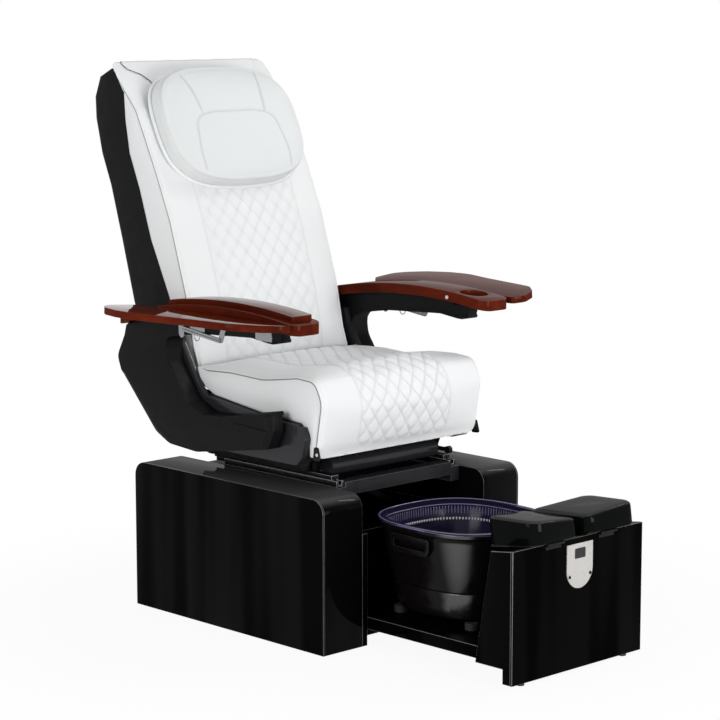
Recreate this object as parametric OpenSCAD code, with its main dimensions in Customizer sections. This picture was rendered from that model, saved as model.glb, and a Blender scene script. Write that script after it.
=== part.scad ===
// Pedicure spa chair: a reclining, sliding seat on two clad cabinets, with a foot tub between
// them and the footrest. Millimetres, +Z up, the user faces -Y, +X is the user's left.
// Lengths along Y are measured from the front faces of the side cabinets, positive to the rear.

/* [Placement] */
// Distance from the origin forward to the cabinets' front faces
setback = 230.5; // [180:1:260]

/* [Side cabinets] */
// Width over both cabinets
base_w = 720; // [680:5:800]
// Width of one cabinet
cabinet_w = 136; // [128:1:142]
// Length of a cabinet, front to rear
cabinet_l = 745; // [720:5:820]
// Height of a cabinet
cabinet_h = 397; // [390:1:400]
// Radius of the bends at the top front and top rear
cabinet_bend_r = 38; // [20:1:60]
// Thickness of the bent skin
skin_t = 6; // [4:0.5:9]
// Thickness of the outer side panel
side_panel_t = 5; // [3:0.5:8]

/* [Tub bay] */
// Thickness of the lower panels inside the bay
bay_panel_t = 18; // [12:1:20]
// Height of the lower bay panels
bay_panel_h = 293; // [270:1:310]
// Distance of the riser panel behind the cabinets' front faces
riser_y = 70; // [68:1:90]
// Thickness of the riser panel
riser_t = 15; // [10:1:20]
// Height of the riser panel
riser_h = 281; // [250:1:290]
// Height of the platform's top
platform_h = 75; // [70:1:78]
// Depth of the platform's skirts
platform_skirt = 32; // [20:1:40]
// Thickness of the platform's sheet and skirts
platform_t = 12; // [8:1:16]

/* [Footrest cabinet] */
// Width of the footrest cabinet
foot_box_w = 480; // [440:5:520]
// Reach of its front face ahead of the side cabinets
foot_box_reach = 529; // [515:1:545]
// Height of its front edge
foot_box_h = 338; // [330:1:346]
// Drop of its top from front to rear
foot_box_drop = 9; // [4:1:16]
// Depth of its top
foot_box_top_l = 71; // [60:1:80]
// Depth of its underside
foot_box_base_l = 120; // [105:1:130]
// Height of its underside above the floor
foot_box_lift = 46; // [44:1:60]
// Thickness of its front leg
foot_leg_t = 31; // [24:1:40]
// Height of the glides under the front leg
glide_h = 9; // [5:1:15]
// Thickness of its walls
foot_wall_t = 14; // [8:1:18]
// Thickness of its gloss front sheet
front_sheet_t = 6; // [3:0.5:8]
// Width of the white plate on its front
plate_w = 95; // [70:1:110]
// Height of the white plate
plate_h = 112; // [100:1:140]
// Thickness of the white plate
plate_t = 2.5; // [1.5:0.5:4]

/* [Foot pads] */
// Width of one foot pad
pad_w = 172; // [140:1:180]
// Gap between the pads
pad_gap = 34; // [24:1:60]
// Length of a pad, front to rear
pad_l = 164; // [140:1:180]
// Overhang of the pads ahead of the cabinet
pad_overhang = 31; // [10:1:45]
// Height of a pad at its outer front corner
pad_h = 56; // [46:1:70]
// How far a pad's top dips towards the middle
pad_dip = 15; // [5:1:25]

/* [Tub] */
// Half width of the rim
tub_a = 188; // [178:1:196]
// Half length of the rim, front to rear
tub_b = 205; // [190:1:209]
// Distance of the tub's centre ahead of the cabinets' front faces
tub_y = 144; // [142:1:150]
// Height of the rim above the floor
tub_rim_h = 326; // [315:1:328]
// Height of the seam between the tub and its collar
tub_seam_h = 170; // [150:1:190]
// Height of the feet under the tub
tub_foot_h = 18; // [12:1:25]
// How far the tub's wall leans in from rim to bottom
tub_taper = 44; // [30:1:55]
// Wall of the tub
tub_wall = 4; // [3:0.5:6]
// Wall of the lift-out liner
liner_wall = 2; // [1.5:0.5:3]
// Clearance between the liner and the tub
liner_gap = 0.6; // [0.4:0.1:1.5]

/* [Seat] */
// Half width of the seat cushion
seat_half_w = 290; // [276:1:292]
// Half width of the quilted middle panel
quilt_half_w = 161; // [140:1:180]
// Number of quilt half-diamonds across the panel
quilt_n = 14; // [10:2:16]
// Depth of the quilting
quilt_depth = 4; // [2:0.5:8]
// Crown of the seat over its width
seat_crown = 10; // [4:1:16]
// Length of the slide rails
rail_l = 440; // [400:5:460]
// Diameter of the front cross tube
cross_tube_d = 46; // [36:1:50]

/* [Arms] */
// Distance from the middle to an arm's inner face
arm_in = 312; // [304:1:324]
// Thickness of an arm
arm_t = 60; // [50:1:70]
// Width of the bevel along an arm's lower outer edge
arm_bevel = 22; // [8:1:26]
// Width of an arm board
board_w = 104; // [96:1:110]
// Thickness of an arm board
board_t = 27; // [22:1:32]
// Radius of the board's arch, seen from the side
board_arch_r = 1670; // [1600:10:2400]
// Diameter of the cup hole
cup_d = 78; // [66:1:84]
// Distance of the cup hole's centre behind the board's front end
cup_back = 89; // [58:1:110]
// Width of a tray leaf
leaf_w = 212; // [150:1:240]
// Thickness of a tray leaf
leaf_t = 18; // [14:1:24]
// Upward slope of a tray leaf in degrees
leaf_slope = 4.5; // [0:0.5:8]

/* [Back] */
// Half width of the back at the arms
back_half_w = 275; // [255:1:280]
// Wall of the back's shell
shell_t = 4; // [3:0.5:6]
// Radius of the shell's rear edges
shell_edge_r = 24; // [14:1:60]
// Lean of the massage rails from upright, in degrees
rail_lean = 20.9; // [18:0.1:23]
// Width of the head pillow
pillow_w = 486; // [420:2:510]
// Height of the head pillow
pillow_h = 354; // [280:2:360]
// Thickness of the head pillow
pillow_t = 62; // [45:1:80]

/* [Mechanism] */
// Diameter of the recline pins
recline_pin_d = 16; // [12:1:20]
// Radius of the lever that the motor pushes
lever_r = 80; // [70:1:85]
// Diameter of the motor's push rod
rod_d = 20; // [16:1:24]
// Running clearance of pins and rods, on the radius
run_gap = 0.05; // [0.03:0.01:0.08]
// Diameter of the lead screw
screw_d = 14; // [10:1:18]
// Diameter of the massage rollers
roller_d = 46; // [36:1:48]

/* [Hidden] */
$fn = 48;
// Overrun of a cut past the face it opens
over = 1;
// Clearance between a body and the body it rests on
rest_gap = 0.3;
LEFT = 1;
RIGHT = -1;

// Width of the bay between the cabinets, as half widths
bay_half = base_w / 2 - cabinet_w;
bay_in = bay_half - bay_panel_t;
skin_out = base_w / 2 - side_panel_t;
// The seat and back are drawn over cabinets of this height, and rise and fall with them
drawn_h = 397;
lift = cabinet_h - drawn_h;
foot_y = -foot_box_reach;

// Places of the mechanism, as [y, z]
recline_axis = [640, 545];
rod_z = recline_axis[1] - lever_r * (1 + cos(35 / 2)) / 2;
lever_pin = recline_axis + lever_r * [sin(35 / 2), -cos(35 / 2)];
lever_pin_d = 12;
back_origin = [752, 780];
foot_axis = [foot_y - 8, foot_box_h];
foot_slope = atan2(foot_box_drop, foot_box_top_l - front_sheet_t);
foot_pin_d = 5;
tube_at = [162, 440];
leaf_axis = [arm_in + arm_t / 2 + 56.5, 811];
leaf_pin_d = 6;

// Outlines as [y, z, corner radius]; the cushions' faces run over what the user touches
seat_face = [[560, 668], [430, 674, 200], [300, 670, 200], [170, 688, 80], [100, 684, 45],
    [70, 628, 70], [96, 480]];
seat_under = [[96, 480], [122, 484], [126, 540], [152, 566], [303, 576], [493, 600], [566, 634],
    [560, 668]];
back_face = [[936, 1462], [890, 1415, 60], [820, 1340, 80], [735, 1170, 150], [680, 1045, 200],
    [617, 848, 200], [590, 720, 80], [574, 672], [568, 620]];
back_rear = [[568, 620], [612, 625], [640, 700], [693, 840], [768, 991], [814, 1124], [855, 1219],
    [871, 1309], [876, 1385], [918, 1442], [936, 1462]];
shell_front = [[615, 612], [642, 705], [695, 839], [770, 990], [816, 1123], [857, 1218], [873, 1308],
    [878, 1383], [902, 1416], [915, 1433]];
shell_rear = [[780, 588], [823, 698], [864, 828], [909, 983], [954, 1128], [991, 1213], [1015, 1309],
    [1017, 1366], [994, 1423], [938, 1446]];
arm_outline = [[148, 817, 4], [160, 775, 10], [186, 776, 16], [250, 784, 80], [450, 774, 100], [600, 752, 45],
    [592, 690, 60], [520, 590, 60], [450, 562, 60], [366, 566, 100], [232, 590, 10], [188, 598, 10],
    [184, 548, 10], [208, 500, 10], [488, 456, 80], [600, 464, 60], [655, 490, 60], [792, 632, 50],
    [812, 682, 40], [778, 745, 30]];
cover_outline = [[128, 539], [128, 484, 8], [150, 461, 12], [560, 461, 20], [590, 490, 12],
    [590, 608], [493, 597], [303, 573], [154, 564]];
wing_outline = [[500, 580], [590, 560], [622, 700, 40], [626, 768, 6], [610, 768, 6], [603, 735, 40],
    [542, 638, 20], [510, 602, 20]];
// Plan of a tray leaf as [distance from its seam, y, corner radius]
leaf_plan = [[0, 66, 12], [36, 52, 30], [96, 80, 60], [146, 135, 70], [186, 330, 200],
    [leaf_w, 430, 160], [leaf_w - 4, 500, 80], [186, 570, 60], [152, 618, 50], [118, 642, 40],
    [42, 638, 40], [0, 596, 20]];
// Height and middle of the boards' arch
arch_top = 856;
arch_y = 340;
board_front = 66;
board_rear = 785;

function unit(v) = v / norm(v);
function flat(p) = [p[0], p[1]];
function mix(a, b, t) = a + (b - a) * t;

// The points of an arc of radius r that rounds the corner q between p and s
function corner(p, q, s, r, n) =
    let (u = unit(p - q), v = unit(s - q), half = acos(max(-1, min(1, u * v))) / 2)
    r <= 0 || half > 89.5 ? [q] :
    let (run = min(r / tan(half), 0.48 * norm(p - q), 0.48 * norm(s - q)),
         fit = run * tan(half),
         middle = q + unit(u + v) * fit / sin(half),
         a = q + u * run - middle,
         b = q + v * run - middle,
         sweep = 180 - 2 * half)
    [for (i = [0:n]) middle + (a * sin(sweep * (n - i) / n) + b * sin(sweep * i / n)) / sin(sweep)];
function radius_of(p) = len(p) > 2 ? p[2] : 0;
// A closed outline with its corners rounded, and an open path with its ends kept
function rounded(c, n = 4) =
    let (k = len(c))
    [for (i = [0:k - 1]) each corner(flat(c[(i + k - 1) % k]), flat(c[i]), flat(c[(i + 1) % k]),
        radius_of(c[i]), n)];
function rounded_path(c, n = 4) =
    let (k = len(c))
    concat([flat(c[0])],
        [for (i = [1:k - 2]) each corner(flat(c[i - 1]), flat(c[i]), flat(c[i + 1]), radius_of(c[i]), n)],
        [flat(c[k - 1])]);

// Equal steps along a path
function lengths(c, i = 0, sum = 0) =
    i == len(c) - 1 ? [sum] : concat([sum], lengths(c, i + 1, sum + norm(c[i + 1] - c[i])));
function at_length(c, sums, d, i = 0) =
    i >= len(c) - 2 || sums[i + 1] >= d ? mix(c[i], c[i + 1], (d - sums[i]) / (sums[i + 1] - sums[i]))
    : at_length(c, sums, d, i + 1);
function resample(c, n) =
    let (sums = lengths(c), total = sums[len(sums) - 1])
    [for (k = [0:n]) at_length(c, sums, total * k / n)];

// Inward direction at point i of a ring that runs counterclockwise
function inward(ring, i) =
    let (n = len(ring), t = unit(ring[(i + 1) % n] - ring[(i + n - 1) % n]))
    [-t[1], t[0]];

function superellipse(a, b, power, n) =
    [for (i = [0:n - 1]) let (c = cos(360 * i / n), s = sin(360 * i / n))
        [a * sign(c) * pow(abs(c), 2 / power), b * sign(s) * pow(abs(s), 2 / power)]];
function at_z(ring, z) = [for (p = ring) [p[0], p[1], z]];
function at_x(ring, x) = [for (p = ring) [x, p[0], p[1]]];

// Triangles that fill a flat ring, found by cutting off one corner after another
function turn(ring, a, b, c, up) = cross(ring[b] - ring[a], ring[c] - ring[a]) * up;
function is_ear(ring, a, b, c, left, up, least) =
    turn(ring, a, b, c, up) > least && len([for (q = left) if (q != a && q != b && q != c
        && turn(ring, a, b, q, up) >= 0 && turn(ring, b, c, q, up) >= 0 && turn(ring, c, a, q, up) >= 0) q]) == 0;
// Thin corners are left for later
function next_ear(ring, left, k, up, tries = 0) =
    let (n = len(left))
    is_ear(ring, left[(k + n - 1) % n], left[k % n], left[(k + 1) % n], left, up, tries < n ? 4 : 0.01)
        ? k % n : next_ear(ring, left, k + 1, up, tries + 1);
function ears(ring, left, k, up) =
    len(left) == 3 ? [left] :
    let (n = len(left), at = next_ear(ring, left, k, up))
    concat([[left[(at + n - 1) % n], left[at], left[(at + 1) % n]]],
        ears(ring, [for (i = [0:n - 1]) if (i != at) left[i]], at + 1, up));
function filled(ring) =
    let (n = len(ring), areas = [for (i = [1:n - 2]) cross(ring[i] - ring[0], ring[i + 1] - ring[0])])
    ears(ring, [for (i = [0:n - 1]) i], 0, unit([for (i = [0:n - 3]) 1] * areas));
// Strips that fill a ring straight across from one side to the other, from its point s on
function strips(n, s) =
    [for (k = [0:n / 2 - 1])
        let (a = (s + k) % n, b = (s + k + 1) % n, c = (s + n - k - 1) % n, d = (s + n - k) % n)
        each concat(b == c ? [] : [[a, b, c]], a == d ? [] : [[a, c, d]])];

// A closed skin over a stack of rings, flat at both ends, or bent there along strips from a given point
module loft(rings, strips_from = -1) {
    n = len(rings[0]);
    m = len(rings);
    walls = [for (j = [0:m - 2], i = [0:n - 1])
        let (p = j * n + i, q = j * n + (i + 1) % n)
        each ((i + j) % 2 == 0 ? [[p, q + n, q], [p, p + n, q + n]] : [[p, p + n, q], [q, p + n, q + n]])];
    near_end = strips_from < 0 ? filled(rings[0]) : strips(n, strips_from);
    far_end = strips_from < 0 ? filled(rings[m - 1]) : near_end;
    polyhedron([for (ring = rings) each ring], concat(walls, near_end,
        [for (t = far_end) [for (i = [2:-1:0]) t[i] + (m - 1) * n]]));
}

// Extrudes a [y, z] outline between two places across the chair
module along_x(x0, x1) {
    translate([x0, 0, 0])
        rotate([90, 0, 90])
            linear_extrude(x1 - x0)
                children();
}
module box(x, y, z) {
    translate([x[0], y[0], z[0]])
        cube([x[1] - x[0], y[1] - y[0], z[1] - z[0]]);
}
// A round bar or bore across the chair
module bar_x(at, d, x0, x1) {
    translate([x0, at[0], at[1]])
        rotate([0, 90, 0])
            cylinder(d = d, h = x1 - x0);
}
module bar_y(at, d, y0, y1) {
    translate([at[0], y1, at[1]])
        rotate([90, 0, 0])
            cylinder(d = d, h = y1 - y0);
}
module sided(side) {
    mirror([side < 0 ? 1 : 0, 0, 0])
        children();
}
module placed() {
    translate([0, -setback, 0])
        children();
}
module upper() {
    translate([0, -setback, lift])
        children();
}
// The leaning frame of the massage rails, inside the back
module in_back() {
    translate([0, back_origin[0], back_origin[1]])
        rotate([-rail_lean, 0, 0])
            children();
}
function to_back(p) =
    let (d = p - back_origin)
    [d[0] * cos(rail_lean) - d[1] * sin(rail_lean), d[0] * sin(rail_lean) + d[1] * cos(rail_lean)];

// ---- Side cabinets and bay ----

function cabinet_outline(d) = rounded([[d, d], [cabinet_l - d, d],
    [cabinet_l - d, cabinet_h - d, cabinet_bend_r - d], [d, cabinet_h - d, cabinet_bend_r - d]], 8);

module cabinet_skin(side) {
    color("#17171a") placed() sided(side) difference() {
        along_x(bay_half, skin_out) polygon(cabinet_outline(0));
        along_x(bay_half + skin_t, skin_out + over) polygon(cabinet_outline(skin_t));
    }
}

module side_panel(side) {
    color("#222226") placed() sided(side)
        along_x(skin_out, base_w / 2) polygon(cabinet_outline(0));
}

module bay_panel(side) {
    color("#141416") placed() sided(side)
        box([bay_in, bay_half], [0, cabinet_l - skin_t], [0, bay_panel_h]);
}

rear_panel_h = 357;
module rear_panel() {
    color("#141416") placed()
        box([-bay_half, bay_half], [cabinet_l - skin_t, cabinet_l], [0, rear_panel_h]);
}

module riser_panel() {
    color("#141416") placed()
        box([-bay_in, bay_in], [riser_y, riser_y + riser_t], [0, riser_h]);
}

// A clad board that the tub stands on
module platform() {
    color("#1a1a1d") placed() box([-bay_in, bay_in], [foot_y + foot_leg_t, riser_y],
        [platform_h - platform_skirt, platform_h]);
}

inlet_x = 290;
inlet_z = 90;
// A capped mains inlet in a screwed frame, on the rear of the right cabinet
module mains_inlet() {
    color("#202020") placed() translate([-inlet_x, cabinet_l, inlet_z]) union() {
        box([-25, 25], [0, 2], [-15, 15]);
        box([-16, 16], [2, 5], [-12, 12]);
    }
}

// ---- Footrest cabinet ----

foot_half = foot_box_w / 2;
function foot_outline() = [[foot_y + front_sheet_t, foot_box_lift], [foot_y + foot_box_base_l, foot_box_lift],
    [foot_y + foot_box_top_l, foot_box_h - foot_box_drop], [foot_y + front_sheet_t, foot_box_h]];

module footrest_cabinet() {
    inner = foot_half - foot_wall_t;
    color("#1d1d20") placed() union() {
        difference() {
            along_x(-foot_half, foot_half) polygon(foot_outline());
            along_x(-inner, inner) offset(delta = -foot_wall_t) polygon(foot_outline());
            box([-inner, inner], [foot_y + foot_leg_t, 0], [0, platform_h]);
        }
        box([-foot_half, foot_half], [foot_y + front_sheet_t, foot_y + foot_leg_t], [glide_h, platform_h]);
    }
}

module footrest_front() {
    color("#0f0f12") placed()
        box([-foot_half, foot_half], [foot_y, foot_y + front_sheet_t], [glide_h, foot_box_h]);
}

plate_top = foot_box_h - 15;
window_z = [plate_top - 37, plate_top - 12];
window_half = 19;
// A plate with a round lower end and a shallow window
module front_plate() {
    r = plate_w / 2;
    color("#e9e9e6") placed() difference() {
        translate([0, foot_y, 0]) rotate([90, 0, 0]) linear_extrude(plate_t) union() {
            translate([0, plate_top - plate_h + r]) circle(r);
            translate([-r, plate_top - plate_h + r]) square([plate_w, plate_h - r]);
        }
        box([-window_half, window_half], [foot_y - plate_t - over, foot_y - plate_t + 1], window_z);
    }
}

screw_z = plate_top - 80;
screw_x = 38;
screw_head_d = 8;
module plate_screws() {
    color("#b8b8b8") placed() for (side = [LEFT, RIGHT]) difference() {
        bar_y([side * screw_x, screw_z], screw_head_d, foot_y - plate_t - 1.5, foot_y - plate_t);
        box([side * screw_x - 3, side * screw_x + 3], [foot_y - plate_t - 3, foot_y - plate_t - 1],
            [screw_z - 0.6, screw_z + 0.6]);
    }
}

glide_x = 190;
glide_d = 22;
module glide_feet() {
    color("#2a2a2a") placed() for (side = [LEFT, RIGHT]) translate([side * glide_x, foot_y + 18, 0])
        rotate_extrude() polygon(rounded([[0, 0], [glide_d / 2, 0, 2], [glide_d / 2 - 2, glide_h], [0, glide_h]]));
}

// ---- Footrest hinge, carrier and pads ----

pad_in = pad_gap / 2;
pad_out = pad_in + pad_w;
carrier_t = 5;
carrier_gap = 0.5;
knuckle_d = 9;
foot_knuckles = [84, 112];
knuckle_gap = 0.4;

// Fixed leaves on the front sheet with one knuckle each
module footrest_hinge() {
    color("#3a3a3c") placed() for (side = [LEFT, RIGHT]) sided(side) difference() {
        union() {
            bar_x(foot_axis, knuckle_d, foot_knuckles[0], foot_knuckles[1]);
            box(foot_knuckles, [foot_axis[0], foot_y], [foot_axis[1] - knuckle_d / 2, foot_axis[1] - 1]);
            box([foot_knuckles[0] - 14, foot_knuckles[1] + 14], [foot_y - 2.5, foot_y],
                [foot_axis[1] - 14, foot_axis[1] - knuckle_d / 2]);
        }
        bar_x(foot_axis, foot_pin_d + 2 * run_gap, foot_knuckles[0] - over, foot_knuckles[1] + over);
    }
}

// Onto the cabinet's sloping top, from the rear edge of its front sheet
module on_top() {
    translate([0, foot_y + front_sheet_t, foot_box_h + carrier_gap]) rotate([-foot_slope, 0, 0])
        children();
}
// Carrier plates under the pads, with their knuckles and pins
module footrest_carrier() {
    from = pad_in + 4;
    to = pad_out - 6;
    color("#2e2e30") placed() for (side = [LEFT, RIGHT]) sided(side) union() {
        difference() {
            on_top()
                box([from, to], [-14, pad_l - pad_overhang - 14], [0, carrier_t]);
            box([foot_knuckles[0] - knuckle_gap, foot_knuckles[1] + knuckle_gap],
                [foot_y - 20, foot_y - 1], [foot_box_h - 9, foot_box_h + 30]);
        }
        for (x = [[foot_knuckles[0] - knuckle_gap - 16, foot_knuckles[0] - knuckle_gap],
                [foot_knuckles[1] + knuckle_gap, foot_knuckles[1] + knuckle_gap + 16]])
            bar_x(foot_axis, knuckle_d, x[0], x[1]);
        bar_x(foot_axis, foot_pin_d, foot_knuckles[0] - 8, foot_knuckles[1] + 8);
    }
}

pad_point = 34;
pad_outline = [[4, pad_l + pad_point, 14], [pad_in, 15, 30], [pad_out, 0, 34], [pad_out, pad_l - 6, 30]];
// Height of a pad's top over its carrier, dished towards the middle gap and lower at the rear
function pad_top(x, y) =
    pad_h - pad_dip * pow((pad_out - x) / pad_w, 1.6) + y * (tan(foot_slope) - 0.05);
function pad_ring(outline, middle, scale, drop) =
    [for (p = outline) let (q = mix(middle, p, scale)) [q[0], q[1], pad_top(q[0], q[1]) - drop]];
module foot_pad(side) {
    outline = rounded(pad_outline, 6);
    middle = [(pad_in + pad_out) / 2, pad_l / 2];
    color("#101312") placed() sided(side)
        on_top() translate([0, -pad_overhang - front_sheet_t, carrier_t])
            loft([
                [for (p = outline) let (q = mix(middle, p, 0.97)) [q[0], q[1], 0]],
                [for (p = outline) [p[0], p[1], 4]],
                pad_ring(outline, middle, 1, 12),
                pad_ring(outline, middle, 0.985, 4.5),
                pad_ring(outline, middle, 0.93, 0.8),
                pad_ring(outline, middle, 0.8, 0),
                pad_ring(outline, middle, 0.5, 0),
                [for (p = outline) let (q = mix(middle, p, 0.12)) [q[0], q[1], pad_top(middle[0], middle[1])]]
            ]);
}

// ---- Tub and liner ----

tub_floor = platform_h + rest_gap + tub_foot_h;
tub_power = 2.7;
tub_sides = 44;
collar_wall = 4;
collar_gap = 0.4;
lip_t = 3;
lip_reach = 5;
// Half sizes of the tub at a height, drawn in by d
function tub_in(z) = tub_taper * (tub_rim_h - z) / (tub_rim_h - tub_floor);
function tub_ring(z, d) =
    at_z(superellipse(tub_a - tub_in(z) - d, tub_b - tub_in(z) - d, tub_power, tub_sides), z);

// A skin from the bottom up the outside, over the rim and down the inside; rings as [height, inset]
module tub_skin(rings) {
    translate([0, -tub_y, 0])
        loft([for (r = rings) tub_ring(r[0], r[1])]);
}

tub_inner_floor = tub_floor + collar_wall + collar_gap + tub_wall;
shell_rings_low = [[tub_floor + collar_wall + collar_gap, collar_wall + collar_gap + 9],
    [tub_floor + collar_wall + collar_gap + 9, collar_wall + collar_gap],
    [tub_seam_h, collar_wall + collar_gap], [tub_seam_h + 0.6, 0]];
module tub_body() {
    color("#1a1413") placed() tub_skin(concat(shell_rings_low, [
        [tub_rim_h - 26, 0], [tub_rim_h - 14, -1.5], [tub_rim_h - 10, -0.5 - lip_reach],
        [tub_rim_h - 2, -lip_reach], [tub_rim_h, 2 - lip_reach],
        [tub_rim_h, tub_wall], [tub_seam_h, tub_wall + collar_wall + collar_gap],
        [tub_inner_floor + 8, tub_wall + collar_wall + collar_gap],
        [tub_inner_floor, tub_wall + collar_wall + collar_gap + 9]]));
}

module tub_base() {
    color("#120e0e") placed() tub_skin([[tub_floor, 9], [tub_floor + 9, 0], [tub_seam_h - 4, 0],
        [tub_seam_h - 1, 2], [tub_seam_h - 1, collar_wall], [tub_floor + collar_wall + 9, collar_wall],
        [tub_floor + collar_wall, collar_wall + 9]]);
}

tub_foot_at = [105, 125];
tub_foot_d = 34;
module tub_feet() {
    color("#2a2a2a") placed() for (x = [-1, 1], y = [-1, 1])
        translate([x * tub_foot_at[0], y * tub_foot_at[1] - tub_y, platform_h + rest_gap])
            cylinder(d = tub_foot_d, h = tub_foot_h);
}

handle_y = [-66, -200];
handle_z = [tub_rim_h - 66, tub_rim_h - 22];
handle_bar = 12;
handle_out = tub_a + 2;
// A flat loop moulded on the tub's side, with a gap for the fingers
module tub_handle(side) {
    color("#1a1413") placed() sided(side) difference() {
        along_x(tub_a - 34, handle_out) difference() {
            polygon(rounded([[handle_y[1], handle_z[0], 18], [handle_y[0], handle_z[0], 18],
                [handle_y[0], handle_z[1], 8], [handle_y[1], handle_z[1], 8]]));
            polygon(rounded([[handle_y[1] + handle_bar, handle_z[0] + handle_bar, 9],
                [handle_y[0] - handle_bar, handle_z[0] + handle_bar, 9],
                [handle_y[0] - handle_bar, handle_z[1] - handle_bar, 6],
                [handle_y[1] + handle_bar, handle_z[1] - handle_bar, 6]]));
        }
        tub_skin([[tub_seam_h + 0.6, 0], [tub_rim_h - 26, 0], [tub_rim_h - 14, -1.5]]);
    }
}

liner_in = tub_wall + liner_gap;
liner_low_in = liner_in + collar_wall + collar_gap;
liner_floor = tub_inner_floor + liner_gap + 1;
function liner_at(z) =
    liner_in + (collar_wall + collar_gap) * (tub_rim_h - z) / (tub_rim_h - tub_seam_h);
// The lift-out basin: it hangs on the tub's rim by its lip
module tub_liner() {
    top = tub_rim_h + rest_gap;
    color("#3c3f8f") placed() tub_skin([[liner_floor, liner_low_in + 16], [liner_floor + 10, liner_low_in + 2],
        [tub_seam_h - 2, liner_low_in], [tub_rim_h - 24, liner_at(tub_rim_h - 24)], [top, liner_in], [top, -lip_reach - 2],
        [top + lip_t, -lip_reach - 2], [top + lip_t, liner_in + 6], [tub_rim_h - 4, liner_in + liner_wall],
        [tub_rim_h - 24, liner_at(tub_rim_h - 24) + liner_wall], [tub_seam_h - 2, liner_low_in + liner_wall],
        [liner_floor + 12, liner_low_in + liner_wall + 2], [liner_floor + liner_wall, liner_low_in + 18]]);
}

// ---- Base frame and slide rails ----

frame_w = 30;
frame_h = 40;
rail_w = 24;
rail_h = 16;
rail_x = bay_half - frame_w;
rail_front = 100;
groove_w = 12;
groove_depth = 12;
slide_gap = 0.4;
frame_front = 92;
frame_rear = 600;
apron_depth = 40;
apron_z = [375, 410];
deck_z = [390, 394];

module base_frame() {
    color("#1b1b1d") placed() union() {
        for (side = [LEFT, RIGHT]) sided(side)
            box([rail_x, bay_half], [frame_front, frame_rear], [cabinet_h - frame_h, cabinet_h]);
        box([-rail_x, rail_x], [frame_front, frame_front + apron_depth], [lift + apron_z[0], lift + apron_z[1]]);
        box([-rail_x, rail_x], [frame_rear - frame_h, frame_rear], [cabinet_h - frame_h, cabinet_h]);
        box([-rail_x, rail_x], [frame_front, frame_rear], [lift + deck_z[0], lift + deck_z[1]]);
    }
}

module slide_rail(side) {
    middle = rail_x + rail_w / 2;
    color("#77797c") placed() sided(side) difference() {
        box([rail_x, rail_x + rail_w], [rail_front, rail_front + rail_l], [cabinet_h, cabinet_h + rail_h]);
        box([middle - groove_w / 2, middle + groove_w / 2], [rail_front - over, rail_front + rail_l + over],
            [cabinet_h + rail_h - groove_depth, cabinet_h + rail_h + over]);
    }
}

// ---- Seat frame, runners and cross tube ----

runner_y = [120, 580];
runner_top = drawn_h + rail_h + 12;
module rail_runner(side) {
    middle = rail_x + rail_w / 2;
    web = groove_w / 2 - slide_gap;
    color("#8b8d90") upper() sided(side) union() {
        box([rail_x, rail_x + rail_w], runner_y, [drawn_h + rail_h + slide_gap, runner_top]);
        box([middle - web, middle + web], runner_y,
            [drawn_h + rail_h - groove_depth + slide_gap, drawn_h + rail_h + over]);
    }
}

plate_x = [236, 240];
beam_h = 25;
beam_front = 190;
pan_t = 4;
pan_gap = 0.1;
pan_y = [160, 490];
motor_y = [296, 340];
cover_in = 262;
cross_bars = [200, 300, 556];
motor_x = 60;
motor_d = 50;
// The cushion's underside between its control points, which the pan follows
function seat_under_z(y) = lookup(y, [for (p = [for (i = [3:5]) seat_under[i]]) [p[0], p[1]]]);
side_plate = [[beam_front, runner_top + 2], [600, runner_top + 2], [668, 530, 12], [668, 566, 24],
    [628, 574, 20], [pan_y[1], 592], [303, 574], [pan_y[0], 564], [pan_y[0], 500]];

module seat_frame() {
    color("#2b2b2d") upper() difference() {
        union() {
            for (side = [LEFT, RIGHT]) sided(side) {
                box([rail_x, rail_x + rail_w], [beam_front, runner_y[1]], [runner_top, runner_top + beam_h]);
                along_x(plate_x[0], plate_x[1]) polygon(rounded(side_plate));
                for (at = [[250, 510], [500, 510]]) bar_x(at, 20, plate_x[1] - over, cover_in);
            }
            for (y = cross_bars)
                box([-plate_x[1], plate_x[1]], [y, y + 24], [runner_top, runner_top + beam_h]);
            along_x(-plate_x[1], plate_x[1]) polygon(concat(
                [for (y = [pan_y[0], seat_under[4][0], pan_y[1]]) [y, seat_under_z(y) - pan_gap - pan_t]],
                [for (y = [pan_y[1], seat_under[4][0], pan_y[0]]) [y, seat_under_z(y) - pan_gap]]));
        }
        bar_x(recline_axis, recline_pin_d, -plate_x[1] - over, plate_x[1] + over);
        saddle = [cross_bars[1] - over, cross_bars[1] + 24 + over];
        bar_y([0, rod_z], actuator_d + 0.6, saddle[0], saddle[1]);
        bar_y([motor_x, rod_z + 5], motor_d + 0.6, saddle[0], saddle[1]);
    }
}

lever_pivot_d = 10;
flange_t = 6;
lever_x = [rail_x + 0.3, rail_x + 12];
// The front cross tube with its end flanges, which reach back to the beams
module cross_tube() {
    color("#303134") upper() difference() {
        union() {
            bar_x(tube_at, cross_tube_d, -rail_x, rail_x);
            for (side = [LEFT, RIGHT]) sided(side)
                box([rail_x - flange_t, rail_x], [tube_at[0], cross_bars[0] - 0.3],
                    [runner_top + 3, runner_top + beam_h - 3]);
        }
        bar_x(tube_at, cross_tube_d - 6, flange_t - rail_x, rail_x - flange_t);
        bar_x(tube_at, lever_pivot_d + 2 * run_gap, 0, rail_x + over);
    }
}

lever_l = 54;
knob_d = 20;
// Releases the seat's slide; its pivot runs in the cross tube's left flange
module slide_lever() {
    color("#9a9c9f") upper() union() {
        bar_x(tube_at, 26, lever_x[0], lever_x[1]);
        bar_x(tube_at, lever_pivot_d, rail_x - 14, lever_x[1]);
        box([lever_x[0] + 2, lever_x[1] - 2], [tube_at[0] - lever_l, tube_at[0]], [tube_at[1] - 5, tube_at[1] + 5]);
        bar_x([tube_at[0] - lever_l, tube_at[1]], knob_d, lever_x[0], lever_x[1]);
    }
}

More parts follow.
